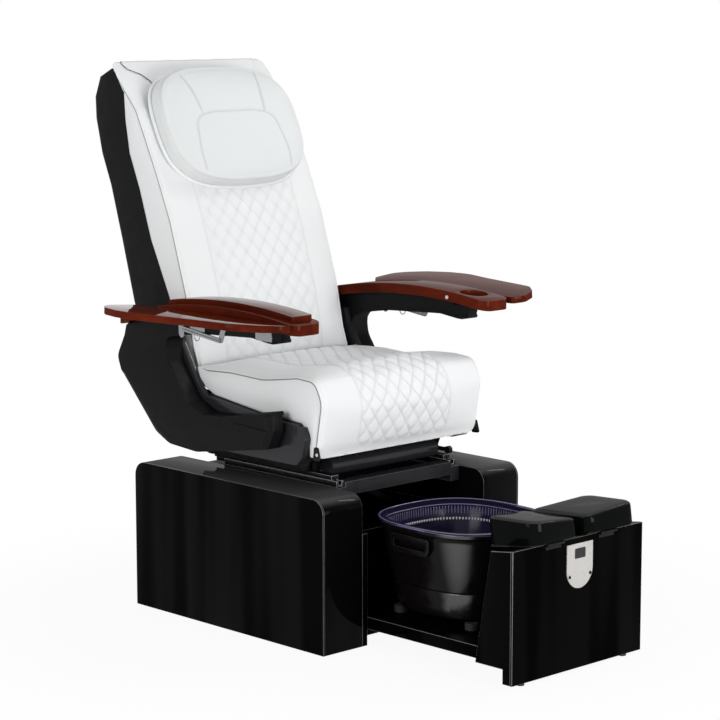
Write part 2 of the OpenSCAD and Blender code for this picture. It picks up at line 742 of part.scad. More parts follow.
lip_x = 291.5;
wing_x = 296;
module seat_side_cover(side) {
    color("#26272a") upper() sided(side) union() {
        along_x(cover_in, arm_in) polygon(rounded(cover_outline));
        along_x(wing_x, arm_in) polygon(rounded(wing_outline));
        along_x(lip_x, arm_in) polygon(rounded([[128, 560], [115, 530, 8], [131, 484, 10], [160, 475],
            [160, 560]]));
    }
}

// ---- Cushions ----

// How far a cushion's edge is drawn in at a place across it
function edge_in(x, half_w, edge_r) =
    let (t = max(0, abs(x) - half_w + edge_r) / edge_r)
    edge_r * (1 - sqrt(max(0, 1 - t * t)));
function stitch(x, i, j, rows) =
    abs(x) <= quilt_half_w + 1 && j > 1 && j < rows - 1 && (i + j) % 2 == 0 ? quilt_depth : 0;
// One outline of a cushion at a place across it: its face, crowned and quilted, then its underside
function cushion_ring(x, i, face, under, half_w, edge_r, crown) =
    let (ring = concat(face, under), n = len(face), side = edge_in(x, half_w, edge_r))
    at_x([for (j = [0:len(ring) - 1])
        let (share = min(1, max(0, j - 2) / 4, max(0, n - 1 - j) / 3),
             bulge = crown * (1 - pow(x / half_w, 2)) - stitch(x, i, j, n))
        ring[j] + inward(ring, j) * share * (side - bulge)], x);
// Places across a cushion: its edge, its border, its quilt and the same again
function stations(half_w, edge_r) =
    let (side = [half_w, half_w - 0.08 * edge_r, half_w - 0.4 * edge_r, half_w - edge_r,
            mix(half_w - edge_r, quilt_half_w, 0.55)],
         step = 2 * quilt_half_w / quilt_n)
    concat([for (s = side) -s], [for (k = [0:quilt_n]) k * step - quilt_half_w],
        [for (k = [len(side) - 1:-1:0]) side[k]]);
module cushion(face, under, half_w, edge_r, crown) {
    xs = stations(half_w, edge_r);
    loft([for (i = [0:len(xs) - 1]) cushion_ring(xs[i], i, face, under, half_w, edge_r, crown)]);
}
function middle_of(c) = [for (i = [1:len(c) - 2]) c[i]];

seat_rows = 26;
seat_edge_r = 15;
module seat_cushion() {
    color("#e6e8ea") upper()
        cushion(resample(rounded_path(seat_face), seat_rows), middle_of(seat_under), seat_half_w, seat_edge_r,
            seat_crown);
}

back_rows = 28;
back_edge_r = 14;
back_crown = 8;
module back_cushion() {
    color("#e6e8ea") upper()
        cushion(resample(rounded_path(back_face), back_rows), middle_of(back_rear), back_half_w, back_edge_r,
            back_crown);
}

pillow_lean = 26.6;
pillow_at = [735, 1170];
pillow_rise = 118;
pillow_bend_from = 160;
pillow_bend = 0.001;
pillow_lift = back_crown + 1;
// A padded block that lies on the cushion's straight upper stretch
module head_pillow() {
    outline = superellipse(pillow_w / 2, pillow_h / 2, 3, 44);
    rings = [[0.9, 0], [0.97, 0.1], [1, 0.3], [1, 0.5], [0.965, 0.7], [0.86, 0.88], [0.6, 0.99], [0.15, 1]];
    color("#e6e8ea") upper() translate([0, pillow_at[0], pillow_at[1]]) rotate([90 - pillow_lean, 0, 0])
        translate([0, pillow_rise, pillow_lift])
            loft([for (r = rings) [for (p = outline * r[0])
                [p[0], p[1], r[1] * pillow_t - pillow_bend * pow(max(0, p[1] + pillow_rise - pillow_bend_from), 2)]]],
                strips_from = 11);
}

// ---- Arms, boards and leaves ----

function board_z(y, r) = arch_top - board_arch_r + sqrt(r * r - pow(y - arch_y, 2));
function arm_top(y) = board_z(y, board_arch_r - board_t);
rear_bevel = 12;
nose_round = 14;
function share_of(t) = min(1, max(0, t * 2 - 0.4));
// How far the outer face is drawn in: where the outline looks down below the gap, to the rear, and at the nose
function bevel_at(ring, i) =
    let (way = inward(ring, i), low = ring[i][1] < 700 ? 1 : 0)
    max(low * arm_bevel * share_of(way[1]), rear_bevel * share_of(-way[0]) * (ring[i][0] > 600 ? 1 : 0),
        nose_at(ring, i));
// The front ends are round in plan
function nose_at(ring, i) = ring[i][0] < 230 ? nose_round * share_of(inward(ring, i)[0]) : 0;
module arm(side) {
    ring = rounded(side == LEFT ? cup_arm : concat(arm_outline, [for (y = [762:-65:177]) [y, arm_top(y)]]), 3);
    far = arm_in + arm_t;
    color("#2a2b2e") upper() sided(side)
        loft([at_x([for (i = [0:len(ring) - 1]) ring[i] + inward(ring, i) * nose_at(ring, i)], arm_in),
            at_x(ring, arm_in + nose_round), at_x(ring, far - nose_round),
            at_x([for (i = [0:len(ring) - 1]) ring[i] + inward(ring, i) * bevel_at(ring, i)], far)]);
}

board_mid = arm_in + arm_t / 2 + 3;
cup_y = board_front + cup_back;
// The arm's outline with a low step below the cup hole, which takes a cup's foot
cup_step = [cup_y + cup_d / 2 + 3, arm_top(cup_y) - 6.5];
cup_arm = concat([[arm_outline[0][0], cup_step[1], 4]], [for (i = [1:len(arm_outline) - 1]) arm_outline[i]],
    [for (y = [762:-65:242]) [y, arm_top(y)]], [[cup_step[0] + 3, arm_top(cup_step[0]) - 1], cup_step]);
module arm_board(side) {
    r = board_w / 2;
    color("#4a1f1c") upper() sided(side) difference() {
        intersection() {
            linear_extrude(1000) polygon(rounded([
                [board_mid - r, board_front, 30], [board_mid + r, board_front, 30],
                [board_mid + r, board_rear, 50], [board_mid - r, board_rear, 50]], 8));
            translate([board_mid - r - over, arch_y, arch_top - board_arch_r]) rotate([0, 90, 0]) difference() {
                cylinder(r = board_arch_r, h = board_w + 2 * over, $fn = 360);
                translate([0, 0, -over]) cylinder(r = board_arch_r - board_t, h = board_w + 4 * over, $fn = 360);
            }
        }
        if (side == LEFT)
            translate([board_mid, cup_y, arch_top - board_t - 40])
                cylinder(d = cup_d, h = board_t + 60);
    }
}

lid_x = [302, 372];
lid_y = [98, 590];
lid_t = 13;
// A second layer of wood on the right board, where the left one has its cup hole
module board_lid() {
    color("#4a1f1c") upper() sided(RIGHT) intersection() {
        linear_extrude(1000) polygon(rounded([[lid_x[0], lid_y[0], 6], [lid_x[1], lid_y[0], 6],
            [lid_x[1], lid_y[1], 20], [lid_x[0], lid_y[1], 20]], 6));
        translate([lid_x[0] - over, arch_y, arch_top - board_arch_r]) rotate([0, 90, 0]) difference() {
            cylinder(r = board_arch_r + lid_t, h = lid_x[1] - lid_x[0] + 2 * over, $fn = 360);
            translate([0, 0, -over])
                cylinder(r = board_arch_r, h = lid_x[1] - lid_x[0] + 4 * over, $fn = 360);
        }
    }
}

cap_d = 10;
cap_at = [205, 834];
// Round covers over the boards' front bolts, on their inner side faces
module arm_caps() {
    color("#c9cbcd") upper() for (side = [LEFT, RIGHT]) sided(side)
        bar_x(cap_at, cap_d, board_mid - board_w / 2 - 2.5, board_mid - board_w / 2);
}

leaf_x = leaf_axis[0] + 5.5;
leaf_z = leaf_axis[1] + 8;
module tray_leaf(side) {
    color("#4a1f1c") upper() sided(side) translate([leaf_x, 0, leaf_z]) rotate([0, -leaf_slope, 0])
        linear_extrude(leaf_t) polygon(rounded(leaf_plan, 6));
}

leaf_hinges = [[172, 232], [430, 490]];
leaf_knuckle_d = 11;
ring_r = 11;
// Plates on the arm's outer face that carry the leaf's fixed knuckles, and a stay with its pull ring
module leaf_bracket(side) {
    far = arm_in + arm_t;
    color("#c2c4c6") upper() sided(side) difference() {
        union() {
            for (y = leaf_hinges) {
                box([far, far + 3], y, [leaf_axis[1] - 30, leaf_axis[1] - 1]);
                box([far, leaf_axis[0]], [y[0] + 20, y[1] - 20], [leaf_axis[1] - 5, leaf_axis[1] - 1]);
                bar_y([leaf_axis[0], leaf_axis[1]], leaf_knuckle_d, y[0] + 20, y[1] - 20);
            }
            for (plate = [[[512, 800], [536, 800], [534, 764, 8], [524, 756, 6], [514, 762, 6]],
                    [[344, 800], [364, 800], [378, 764, 8], [364, 756, 6]]])
                along_x(far, far + 3) polygon(rounded(plate, 4));
            for (z = [0, -7])
                along_x(far + 1, far + 6) hull() {
                    translate([518, 786 + z]) circle(2.6);
                    translate([370, 768 + z]) circle(2.6);
                }
            translate([far + 4.5, 459, 778 - ring_r]) rotate([0, 90, 0])
                rotate_extrude() translate([ring_r, 0]) circle(d = 2.4, $fn = 16);
        }
        for (y = leaf_hinges)
            bar_y(leaf_axis, leaf_pin_d + 2 * run_gap, y[0], y[1]);
    }
}

strut_t = 3;
strut_l = 70;
// Plates under the leaf with the moving knuckles and their pins
module leaf_strut(side) {
    color("#c2c4c6") upper() sided(side) union() {
        for (y = leaf_hinges) {
            translate([leaf_x, 0, leaf_z]) rotate([0, -leaf_slope, 0])
                box([2, strut_l], y, [-strut_t, 0]);
            for (part = [[y[0], y[0] + 20 - knuckle_gap], [y[1] - 20 + knuckle_gap, y[1]]]) {
                bar_y(leaf_axis, leaf_knuckle_d, part[0], part[1]);
                box([leaf_axis[0], leaf_x + 4], part, [leaf_axis[1] + 1, leaf_z - 0.5]);
            }
            bar_y(leaf_axis, leaf_pin_d, y[0] + 4, y[1] - 4);
        }
    }
}

// ---- Recline ----

ear_x = [228, 234];
module recline_pins() {
    color("#b0b2b4") upper() for (side = [LEFT, RIGHT]) sided(side) union() {
        bar_x(recline_axis, recline_pin_d, ear_x[0] - 4, plate_x[1] + 4);
        bar_x(recline_axis, recline_pin_d + 10, plate_x[1], plate_x[1] + 4);
    }
}

actuator_y = [275, 560];
actuator_d = 30;
rod_y = [332, 652];
fork_y = [rod_y[1] - 2, rod_y[1] + 28];
module recline_motor() {
    color("#3d3f42") upper() difference() {
        union() {
            box([-34, 34], [motor_y[0] - 60, motor_y[1]], [runner_top + beam_h, runner_top + beam_h + 40]);
            bar_y([0, rod_z], actuator_d, actuator_y[0], actuator_y[1]);
            bar_y([motor_x, rod_z + 5], motor_d, motor_y[0] - 50, motor_y[1] + 90);
        }
        bar_y([0, rod_z], rod_d + 2 * run_gap, actuator_y[0] + 5, actuator_y[1] + over);
    }
}

fork_half = 11.5;
slot_l = lever_pin_d + 0.8;
slot_h = 16;
module recline_rod() {
    color("#c8cacc") upper() difference() {
        union() {
            bar_y([0, rod_z], rod_d, rod_y[0], rod_y[1]);
            box([-fork_half, fork_half], fork_y, [rod_z - 15, rod_z + 15]);
        }
        box([-fork_half - over, fork_half + over], [lever_pin[0] - slot_l / 2, lever_pin[0] + slot_l / 2],
            [rod_z - slot_h / 2, rod_z + slot_h / 2]);
    }
}

module control_box() {
    color("#1e1f22") upper()
        box([-180, -60], [205, 320], [runner_top + beam_h, runner_top + beam_h + 36]);
}

// ---- Back ----

function shell_ring(k) =
    let (w = back_half_w, deep = norm(shell_rear[k] - shell_front[k]), r = max(shell_t + 3, min(shell_edge_r, deep * 0.8)),
         outer = [[w, 0], [w, deep, r], [-w, deep, r], [-w, 0]],
         inner = [[shell_t - w, 0], [shell_t - w, deep - shell_t, r - shell_t],
            [w - shell_t, deep - shell_t, r - shell_t], [w - shell_t, 0]],
         ring = rounded(concat(outer, inner), 5),
         along = unit(shell_rear[k] - shell_front[k]))
    [for (p = ring) [p[0], shell_front[k][0] + along[0] * p[1], shell_front[k][1] + along[1] * p[1]]];
module back_shell() {
    color("#161617") upper()
        loft([for (k = [0:len(shell_front) - 1]) shell_ring(k)]);
}
// A point of the shell's inner rear face, between rows k and k + 1
function shell_inside(k, t) =
    mix(shell_rear[k] - shell_t * unit(shell_rear[k] - shell_front[k]),
        shell_rear[k + 1] - shell_t * unit(shell_rear[k + 1] - shell_front[k + 1]), t);

stile_x = [205, 230];
stile_d = 15;
stile_z = [-200, 540];
torsion_d = 34;
former_x = [212, 222];
screw_y = 18;
massage_l = 470;
end_plate_t = 16;
function from_back(p) =
    back_origin + [p[0] * cos(rail_lean) + p[1] * sin(rail_lean), p[1] * cos(rail_lean) - p[0] * sin(rail_lean)];

module back_frame() {
    axis = to_back(recline_axis);
    color("#3a3b3e") upper() difference() {
        union() {
            in_back() {
                for (side = [LEFT, RIGHT]) sided(side) {
                    box(stile_x, [-stile_d, stile_d], stile_z);
                    along_x(ear_x[0], ear_x[1]) hull() {
                        translate(axis) circle(24);
                        translate([-stile_d, stile_z[0]]) square([2 * stile_d, 40]);
                    }
                }
                for (z = [-end_plate_t - 24, massage_l + end_plate_t])
                    box([-stile_x[0], stile_x[0]], [-12, 12], [z, z + 24]);
            }
            for (side = [LEFT, RIGHT]) sided(side) {
                along_x(former_x[0], former_x[1])
                    polygon(concat([for (i = [2:6]) back_rear[i]],
                        [from_back([-stile_d, 440]), from_back([-stile_d, -115])]));
                for (k = [2, 4])
                    along_x(former_x[0] - 4, former_x[1] - 4)
                        polygon([shell_inside(k, 0.3), shell_inside(k, 0.6),
                            from_back(to_back(shell_inside(k, 0.6)) * [[0, 0], [0, 1]] + [stile_d - 2, 0]),
                            from_back(to_back(shell_inside(k, 0.3)) * [[0, 0], [0, 1]] + [stile_d - 2, 0])]);
            }
            bar_x(recline_axis, torsion_d, -ear_x[0], ear_x[0]);
            for (x = [-18, 12]) along_x(x, x + 6) hull() {
                translate(recline_axis) circle(20);
                translate(lever_pin) circle(12);
            }
            bar_x(lever_pin, lever_pin_d, -18, 18);
        }
        bar_x(recline_axis, recline_pin_d + 2 * run_gap, ear_x[0] - over, ear_x[1] + over);
        bar_x(recline_axis, recline_pin_d + 2 * run_gap, -ear_x[1] - over, over - ear_x[0]);
        bar_x(recline_axis, torsion_d - 10, -ear_x[0], ear_x[0]);
    }
}

rail_half = [100, 120];
channel_d = 24;
channel_wall = 3;
module massage_rails() {
    color("#6d6f73") upper() in_back() difference() {
        union() {
            for (side = [LEFT, RIGHT]) sided(side) difference() {
                box(rail_half, [-channel_d / 2, channel_d / 2], [0, massage_l]);
                box([rail_half[0] - over, rail_half[1] - channel_wall],
                    [channel_wall - channel_d / 2, channel_d / 2 - channel_wall], [-over, massage_l + over]);
            }
            for (z = [-end_plate_t, massage_l])
                box([-rail_half[1] - 8, rail_half[1] + 8], [-channel_d / 2, screw_y + 14], [z, z + end_plate_t]);
        }
        translate([0, screw_y, -end_plate_t - over])
            cylinder(d = screw_d + 2 * run_gap, h = massage_l + 2 * end_plate_t + 2 * over);
    }
}

end_play = 0.4;
module lead_screw() {
    color("#b4b6b8") upper() in_back() translate([0, screw_y, end_play - end_plate_t])
        cylinder(d = screw_d, h = massage_l + 2 * (end_plate_t - end_play));
}

carriage_z = [190, 280];
wheel_d = 17.4;
roller_at = [-28, 235];
shaft_d = 12;
lug_x = [78, 90];
module massage_carriage() {
    color("#2f3033") upper() in_back() difference() {
        union() {
            box([-92, 92], [-2, 36], carriage_z);
            for (side = [LEFT, RIGHT]) sided(side) {
                along_x(lug_x[0], lug_x[1]) hull() {
                    translate(roller_at) circle(12);
                    translate([-3, roller_at[1] - 18]) square([3, 36]);
                }
                for (z = [carriage_z[0] + 12, carriage_z[1] - 12]) {
                    bar_x([0, z], 8, 88, 102);
                    bar_x([0, z], wheel_d, rail_half[0] + 1, rail_half[1] - channel_wall - 1);
                }
            }
        }
        translate([0, screw_y, carriage_z[0] - over])
            cylinder(d = screw_d + 2 * run_gap, h = carriage_z[1] - carriage_z[0] + 2 * over);
        bar_x(roller_at, shaft_d + 2 * run_gap, -lug_x[1] - over, lug_x[1] + over);
    }
}

roller_x = 44;
roller_w = 30;
module kneading_rollers() {
    color("#55575a") upper() in_back() union() {
        bar_x(roller_at, shaft_d, -lug_x[1] - 3, lug_x[1] + 3);
        for (side = [LEFT, RIGHT]) translate([side * roller_x, roller_at[0], roller_at[1]]) rotate([0, 90, 0])
            rotate_extrude() polygon(rounded([[0, -roller_w / 2], [roller_d / 2, -roller_w / 2, 10],
                [roller_d / 2, roller_w / 2, 10], [0, roller_w / 2]], 5));
    }
}

// ---- Nodes ----

cabinet_skin(LEFT);  // cabinet_skin_left
cabinet_skin(RIGHT);  // cabinet_skin_right
side_panel(LEFT);  // side_panel_left
side_panel(RIGHT);  // side_panel_right
bay_panel(LEFT);  // bay_panel_left
bay_panel(RIGHT);  // bay_panel_right
rear_panel();
riser_panel();
platform();
footrest_cabinet();
footrest_front();
front_plate();
plate_screws();
glide_feet();
base_frame();
slide_rail(LEFT);  // slide_rail_left
slide_rail(RIGHT);  // slide_rail_right
mains_inlet();
footrest_hinge();
footrest_carrier();
foot_pad(LEFT);  // foot_pad_left
foot_pad(RIGHT);  // foot_pad_right
tub_body();
tub_base();
tub_feet();
tub_handle(LEFT);  // tub_handle_left
tub_handle(RIGHT);  // tub_handle_right
tub_liner();
seat_frame();
rail_runner(LEFT);  // rail_runner_left
rail_runner(RIGHT);  // rail_runner_right
cross_tube();
slide_lever();
seat_side_cover(LEFT);  // seat_side_cover_left
seat_side_cover(RIGHT);  // seat_side_cover_right
seat_cushion();
arm(LEFT);  // arm_left
arm(RIGHT);  // arm_right
arm_board(LEFT);  // arm_board_left
arm_board(RIGHT);  // arm_board_right
board_lid();
arm_caps();
leaf_bracket(LEFT);  // leaf_bracket_left
leaf_bracket(RIGHT);  // leaf_bracket_right
tray_leaf(LEFT);  // tray_leaf_left
tray_leaf(RIGHT);  // tray_leaf_right
leaf_strut(LEFT);  // leaf_strut_left
leaf_strut(RIGHT);  // leaf_strut_right
recline_pins();
recline_motor();
recline_rod();
control_box();
back_shell();
back_frame();
back_cushion();
head_pillow();
massage_rails();
lead_screw();
massage_carriage();
kneading_rollers();
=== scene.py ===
# %% [markdown]
# # A pedicure spa chair, built round its CAD frame
#
# The frame holds every rigid part of the chair: cabinets, tub, rails, arms, and the mechanism
# in the back. Here each of them gets its finish, and the soft parts are sewn. All lengths are
# metres. X runs across the chair, Y from the footrest to the back, and Z up.

# %% Load the frame
import math

import bmesh
import bpy
import numpy as np
from mathutils import Matrix, Vector
from mathutils.bvhtree import BVHTree


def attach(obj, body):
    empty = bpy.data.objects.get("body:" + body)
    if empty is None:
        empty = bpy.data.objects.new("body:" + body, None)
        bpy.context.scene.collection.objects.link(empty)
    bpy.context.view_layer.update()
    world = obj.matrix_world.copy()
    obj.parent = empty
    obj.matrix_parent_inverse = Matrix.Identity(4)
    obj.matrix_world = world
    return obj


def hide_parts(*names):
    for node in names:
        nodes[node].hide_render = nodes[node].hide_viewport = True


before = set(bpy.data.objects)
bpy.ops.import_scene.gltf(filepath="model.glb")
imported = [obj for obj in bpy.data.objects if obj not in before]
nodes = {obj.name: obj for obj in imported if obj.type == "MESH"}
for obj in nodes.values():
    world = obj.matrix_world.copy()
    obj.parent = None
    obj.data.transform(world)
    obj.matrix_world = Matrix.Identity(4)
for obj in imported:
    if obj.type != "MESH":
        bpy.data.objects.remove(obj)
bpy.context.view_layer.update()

# %% [markdown]
# The profiles below are drawn from the front of the side cabinets, which is how the chair is
# set out in the workshop. The frame's own middle lies a little further back, so every profile
# is moved by the same setback.

# %% Helpers for profiles
SETBACK = 0.2305
MM = 0.001
SIDES = ((-1, "right"), (1, "left"))


def profile(points):
    """[y, z] points in millimetres as an array in the frame's place, in metres."""
    return np.array([[p[0] * MM - SETBACK, p[1] * MM] for p in points], float)


def round_corners(points, radii, steps=6, closed=False):
    """The same path with an arc at each corner that has a radius, in metres."""
    out, n = [], len(points)
    for i, q in enumerate(points):
        r = radii[i] * MM
        if r <= 0 or (not closed and i in (0, n - 1)):
            out.append(q)
            continue
        p, s = points[i - 1], points[(i + 1) % n]
        u, v = (p - q) / np.linalg.norm(p - q), (s - q) / np.linalg.norm(s - q)
        half = math.acos(max(-1.0, min(1.0, float(u @ v)))) / 2
        if half > math.radians(89.5):
            out.append(q)
            continue
        run = min(r / math.tan(half), 0.48 * np.linalg.norm(p - q), 0.48 * np.linalg.norm(s - q))
        middle = q + (u + v) / np.linalg.norm(u + v) * run / math.cos(half)
        a, b, sweep = q + u * run - middle, q + v * run - middle, math.pi - 2 * half
        for k in range(steps + 1):
            t = k / steps
            out.append(middle + (a * math.sin(sweep * (1 - t)) + b * math.sin(sweep * t)) / math.sin(sweep))
    return np.array(out)


def spaced(points, count):
    """The path again, in count equal steps."""
    steps = np.r_[0, np.cumsum(np.linalg.norm(np.diff(points, axis=0), axis=1))]
    at = np.linspace(0, steps[-1], count + 1)
    return np.stack([np.interp(at, steps, points[:, k]) for k in range(points.shape[1])], 1)


def path_length(points):
    return float(np.linalg.norm(np.diff(points, axis=0), axis=1).sum())


def unit(vectors):
    """The same directions at length 1, for an array of vectors."""
    return vectors / np.maximum(np.linalg.norm(vectors, axis=-1, keepdims=True), 1e-9)


def in_scene(name, data):
    """A new object with this data, linked to the scene."""
    obj = bpy.data.objects.new(name, data)
    bpy.context.scene.collection.objects.link(obj)
    return obj


def make_object(name, verts, faces, smooth=True, material=None):
    """A mesh object at the origin, with its finish."""
    mesh = bpy.data.meshes.new(name)
    mesh.from_pydata([tuple(map(float, v)) for v in verts], [], faces)
    mesh.validate()
    mesh.update()
    mesh.shade_smooth() if smooth else mesh.shade_flat()
    if material:
        mesh.materials.append(material)
    return in_scene(name, mesh)


def ring_quads(rows, around, closed=False):
    """Quads between rings of points that follow each other, and from the last ring to the first if closed."""
    quads = []
    for i in range(rows if closed else rows - 1):
        low, high = i * around, (i + 1) % rows * around
        quads += [(low + k, low + (k + 1) % around, high + (k + 1) % around, high + k) for k in range(around)]
    return quads


def faced_outward(obj):
    """Turns the faces of a closed mesh outward."""
    shell = bmesh.new()
    shell.from_mesh(obj.data)
    bmesh.ops.recalc_face_normals(shell, faces=shell.faces)
    shell.to_mesh(obj.data)
    shell.free()


def baked(obj):
    """The object with its modifiers made part of its mesh."""
    graph = bpy.context.evaluated_depsgraph_get()
    mesh = bpy.data.meshes.new_from_object(obj.evaluated_get(graph))
    old = obj.data
    obj.modifiers.clear()
    obj.data = mesh
    bpy.data.meshes.remove(old)
    mesh.name = obj.name
    return obj


def set_all(thing, **values):
    for key, value in values.items():
        setattr(thing, key, value)
    return thing


def modified(obj, kind, **settings):
    """Adds one modifier with these settings."""
    return set_all(obj.modifiers.new(kind.title(), kind), **settings)


# %% [markdown]
# ## Camera, floor and light
#
# The chair is shown from its front right, from above head height, through a long lens that keeps
# its upright lines nearly parallel. The room is plain: a pale floor and pale air, large soft lamps
# in front and at the chair's right, one above, and a narrow one beyond its left. The gloss parts
# mirror that room.

# %% Camera
IMAGE_PX = 720
SENSOR = 36.0
FOCAL_PX = 2383.8
CAMERA_AT = Vector((-4.3187, -4.4729, 1.6340))
CAMERA_AZIMUTH, CAMERA_PITCH, CAMERA_ROLL = (math.radians(a) for a in (-43.93, 8.63, -0.04))

camera_data = bpy.data.cameras.new("camera")
camera_data.sensor_width = SENSOR
camera_data.lens = FOCAL_PX * SENSOR / IMAGE_PX
camera_data.clip_start, camera_data.clip_end = 0.1, 60
camera = in_scene("camera", camera_data)
bpy.context.scene.camera = camera
camera.matrix_world = (
    Matrix.Translation(CAMERA_AT)
    @ Matrix.Rotation(CAMERA_AZIMUTH, 4, "Z")
    @ Matrix.Rotation(math.pi / 2 - CAMERA_PITCH, 4, "X")
    @ Matrix.Rotation(CAMERA_ROLL, 4, "Z")
)
bpy.context.scene.view_settings.view_transform = "Standard"
print("lens mm:", round(camera_data.lens, 2))

# %% Helpers for node trees
def link(tree, a, b):
    tree.links.new(a, b)


def add_node(tree, kind, inputs=None, **settings):
    """One shader or geometry node with its settings and unlinked input values."""
    item = set_all(tree.nodes.new(kind), **settings)
    for key, value in (inputs or {}).items():
        if isinstance(value, bpy.types.NodeSocket):
            tree.links.new(value, item.inputs[key])
        else:
            item.inputs[key].default_value = value
    return item


def maths(tree, operation, a, b):
    return add_node(tree, "ShaderNodeMath", {0: a, 1: b}, operation=operation).outputs[0]


def ranged(tree, value, low, high, start=0.3, stop=0.7, **settings):
    """A value that goes from low to high while the given one goes from start to stop."""
    limits = {"From Min": start, "From Max": stop, "To Min": low, "To Max": high}
    return add_node(tree, "ShaderNodeMapRange", {"Value": value, **limits}, **settings).outputs[0]


def geometry_tree(name, inputs, output):
    """A Geometry Nodes tree with these input sockets, and its first and last nodes."""
    tree = bpy.data.node_groups.new(name, "GeometryNodeTree")
    for label, kind in inputs.items():
        tree.interface.new_socket(label, in_out="INPUT", socket_type="NodeSocket" + kind)
    tree.interface.new_socket(output, in_out="OUTPUT", socket_type="NodeSocketGeometry")
    return tree, tree.nodes.new("NodeGroupInput"), tree.nodes.new("NodeGroupOutput")


def seen_directly(tree):
    """1 for rays that show the background: straight from the camera, in a mirror, or through glass."""
    path = add_node(tree, "ShaderNodeLightPath")
    both = maths(tree, "MAXIMUM", path.outputs["Is Camera Ray"], path.outputs["Is Glossy Ray"])
    return maths(tree, "MAXIMUM", both, path.outputs["Is Transmission Ray"])


def emptied(data):
    """The node tree of a new material or world, with nothing in it."""
    data.use_nodes = True
    data.node_tree.nodes.clear()
    return data.node_tree


def shown_or_lit(tree, share, lit, shown, output):
    """Shows one shader to the rays that see the background, and lights the chair with the other."""
    mixed = add_node(tree, "ShaderNodeMixShader", {0: share, 1: lit.outputs[0], 2: shown.outputs[0]})
    link(tree, mixed.outputs[0], add_node(tree, output).inputs["Surface"])


# %% Floor and room
ROOM_LIGHT = 0.46
GLOW_NEAR, GLOW_FAR = 0.93, 1.0

WHITE = (1, 1, 1, 1)

floor_material = bpy.data.materials.new("floor_pale")
tree = emptied(floor_material)
paint = add_node(tree, "ShaderNodeBsdfDiffuse", {"Color": (0.86, 0.86, 0.86, 1)})
glow = add_node(tree, "ShaderNodeEmission", {"Color": WHITE, "Strength": 1.0})
place = add_node(tree, "ShaderNodeTexCoord").outputs["Object"]
away = add_node(tree, "ShaderNodeVectorMath", {0: place}, operation="LENGTH").outputs["Value"]
fade = ranged(tree, away, GLOW_NEAR, GLOW_FAR, 0.6, 1.6, interpolation_type="SMOOTHSTEP")
share = maths(tree, "MULTIPLY", seen_directly(tree), fade)
shown_or_lit(tree, share, paint, glow, "ShaderNodeOutputMaterial")

FLOOR = [(-14, -14, 0), (14, -14, 0), (14, 14, 0), (-14, 14, 0)]
floor = make_object("floor", FLOOR, [(0, 1, 2, 3)], False, floor_material)

world = bpy.data.worlds.new("room")
bpy.context.scene.world = world
tree = emptied(world)
lit = add_node(tree, "ShaderNodeBackground", {"Color": WHITE, "Strength": ROOM_LIGHT})
shown = add_node(tree, "ShaderNodeBackground", {"Color": WHITE, "Strength": 1.0})
shown_or_lit(tree, seen_directly(tree), lit, shown, "ShaderNodeOutputWorld")


# %% Soft lamps
def soft_lamp(name, at, towards, size, watts):
    """A large rectangular lamp that faces a point."""
    data = bpy.data.lights.new(name, "AREA")
    data.shape, data.size, data.size_y, data.energy = "RECTANGLE", size[0], size[1], watts
    lamp = in_scene(name, data)
    lamp.location = at
    lamp.rotation_mode = "QUATERNION"
    lamp.rotation_quaternion = (Vector(towards) - Vector(at)).to_track_quat("-Z", "Y")
    return lamp


MIDDLE = (0, 0, 0.65)
soft_lamp("lamp_front", (0.2, -4.0, 0.9), MIDDLE, (1.6, 1.2), 80)
soft_lamp("lamp_left", (-4.2, -0.4, 1.6), MIDDLE, (2.0, 2.0), 68)
soft_lamp("lamp_above", (1.2, -0.3, 4.4), MIDDLE, (2.4, 2.4), 16)
soft_lamp("lamp_rim", (3.2, -0.9, 3.4), MIDDLE, (0.6, 1.6), 30)
# %% [markdown]
# ## Finishes
#
# Every finish is a small tree of nodes round one Principled shader: a little colour change, a
# little change in gloss, and the fine relief of the real surface. They read Object coordinates,
# which are metres here, so a scale of 1000 draws one bump every millimetre.

# %% One builder for all finishes
# Painted shade: how dark the leather is painted along its crease lines and seams.
CREASE_SHADE_DARK = 0.35
TINT_DARK = 0.75


def new_finish(name):
    """An empty finish: its material, its tree, its shader, and the place on the piece in metres."""
    material = bpy.data.materials.new(name)
    material.use_nodes = True
    tree = material.node_tree
    at = add_node(tree, "ShaderNodeTexCoord").outputs["Object"]
    return material, tree, tree.nodes["Principled BSDF"], at


def noise(tree, at, scale, detail, **more):
    inputs = {"Vector": at, "Scale": scale, "Detail": detail, **more}
    return add_node(tree, "ShaderNodeTexNoise", inputs).outputs["Fac"]


def blend(tree, share, first, second):
    """One colour turning into another as the share goes from 0 to 1."""
    return add_node(tree, "ShaderNodeMix", {0: share, 6: first, 7: second}, data_type="RGBA").outputs[2]


def bump(tree, height, strength, distance):
    return add_node(tree, "ShaderNodeBump", {"Height": height, "Strength": strength, "Distance": distance})


def facing(tree):
    """The way a face looks in the room. It places the painted light and painted sheen on tops and the painted
    highlight band, so they change as the piece turns.
    """
    return add_node(tree, "ShaderNodeNewGeometry").outputs["Normal"]


def facing_up(tree):
    return add_node(tree, "ShaderNodeSeparateXYZ", {0: facing(tree)}).outputs["Z"]


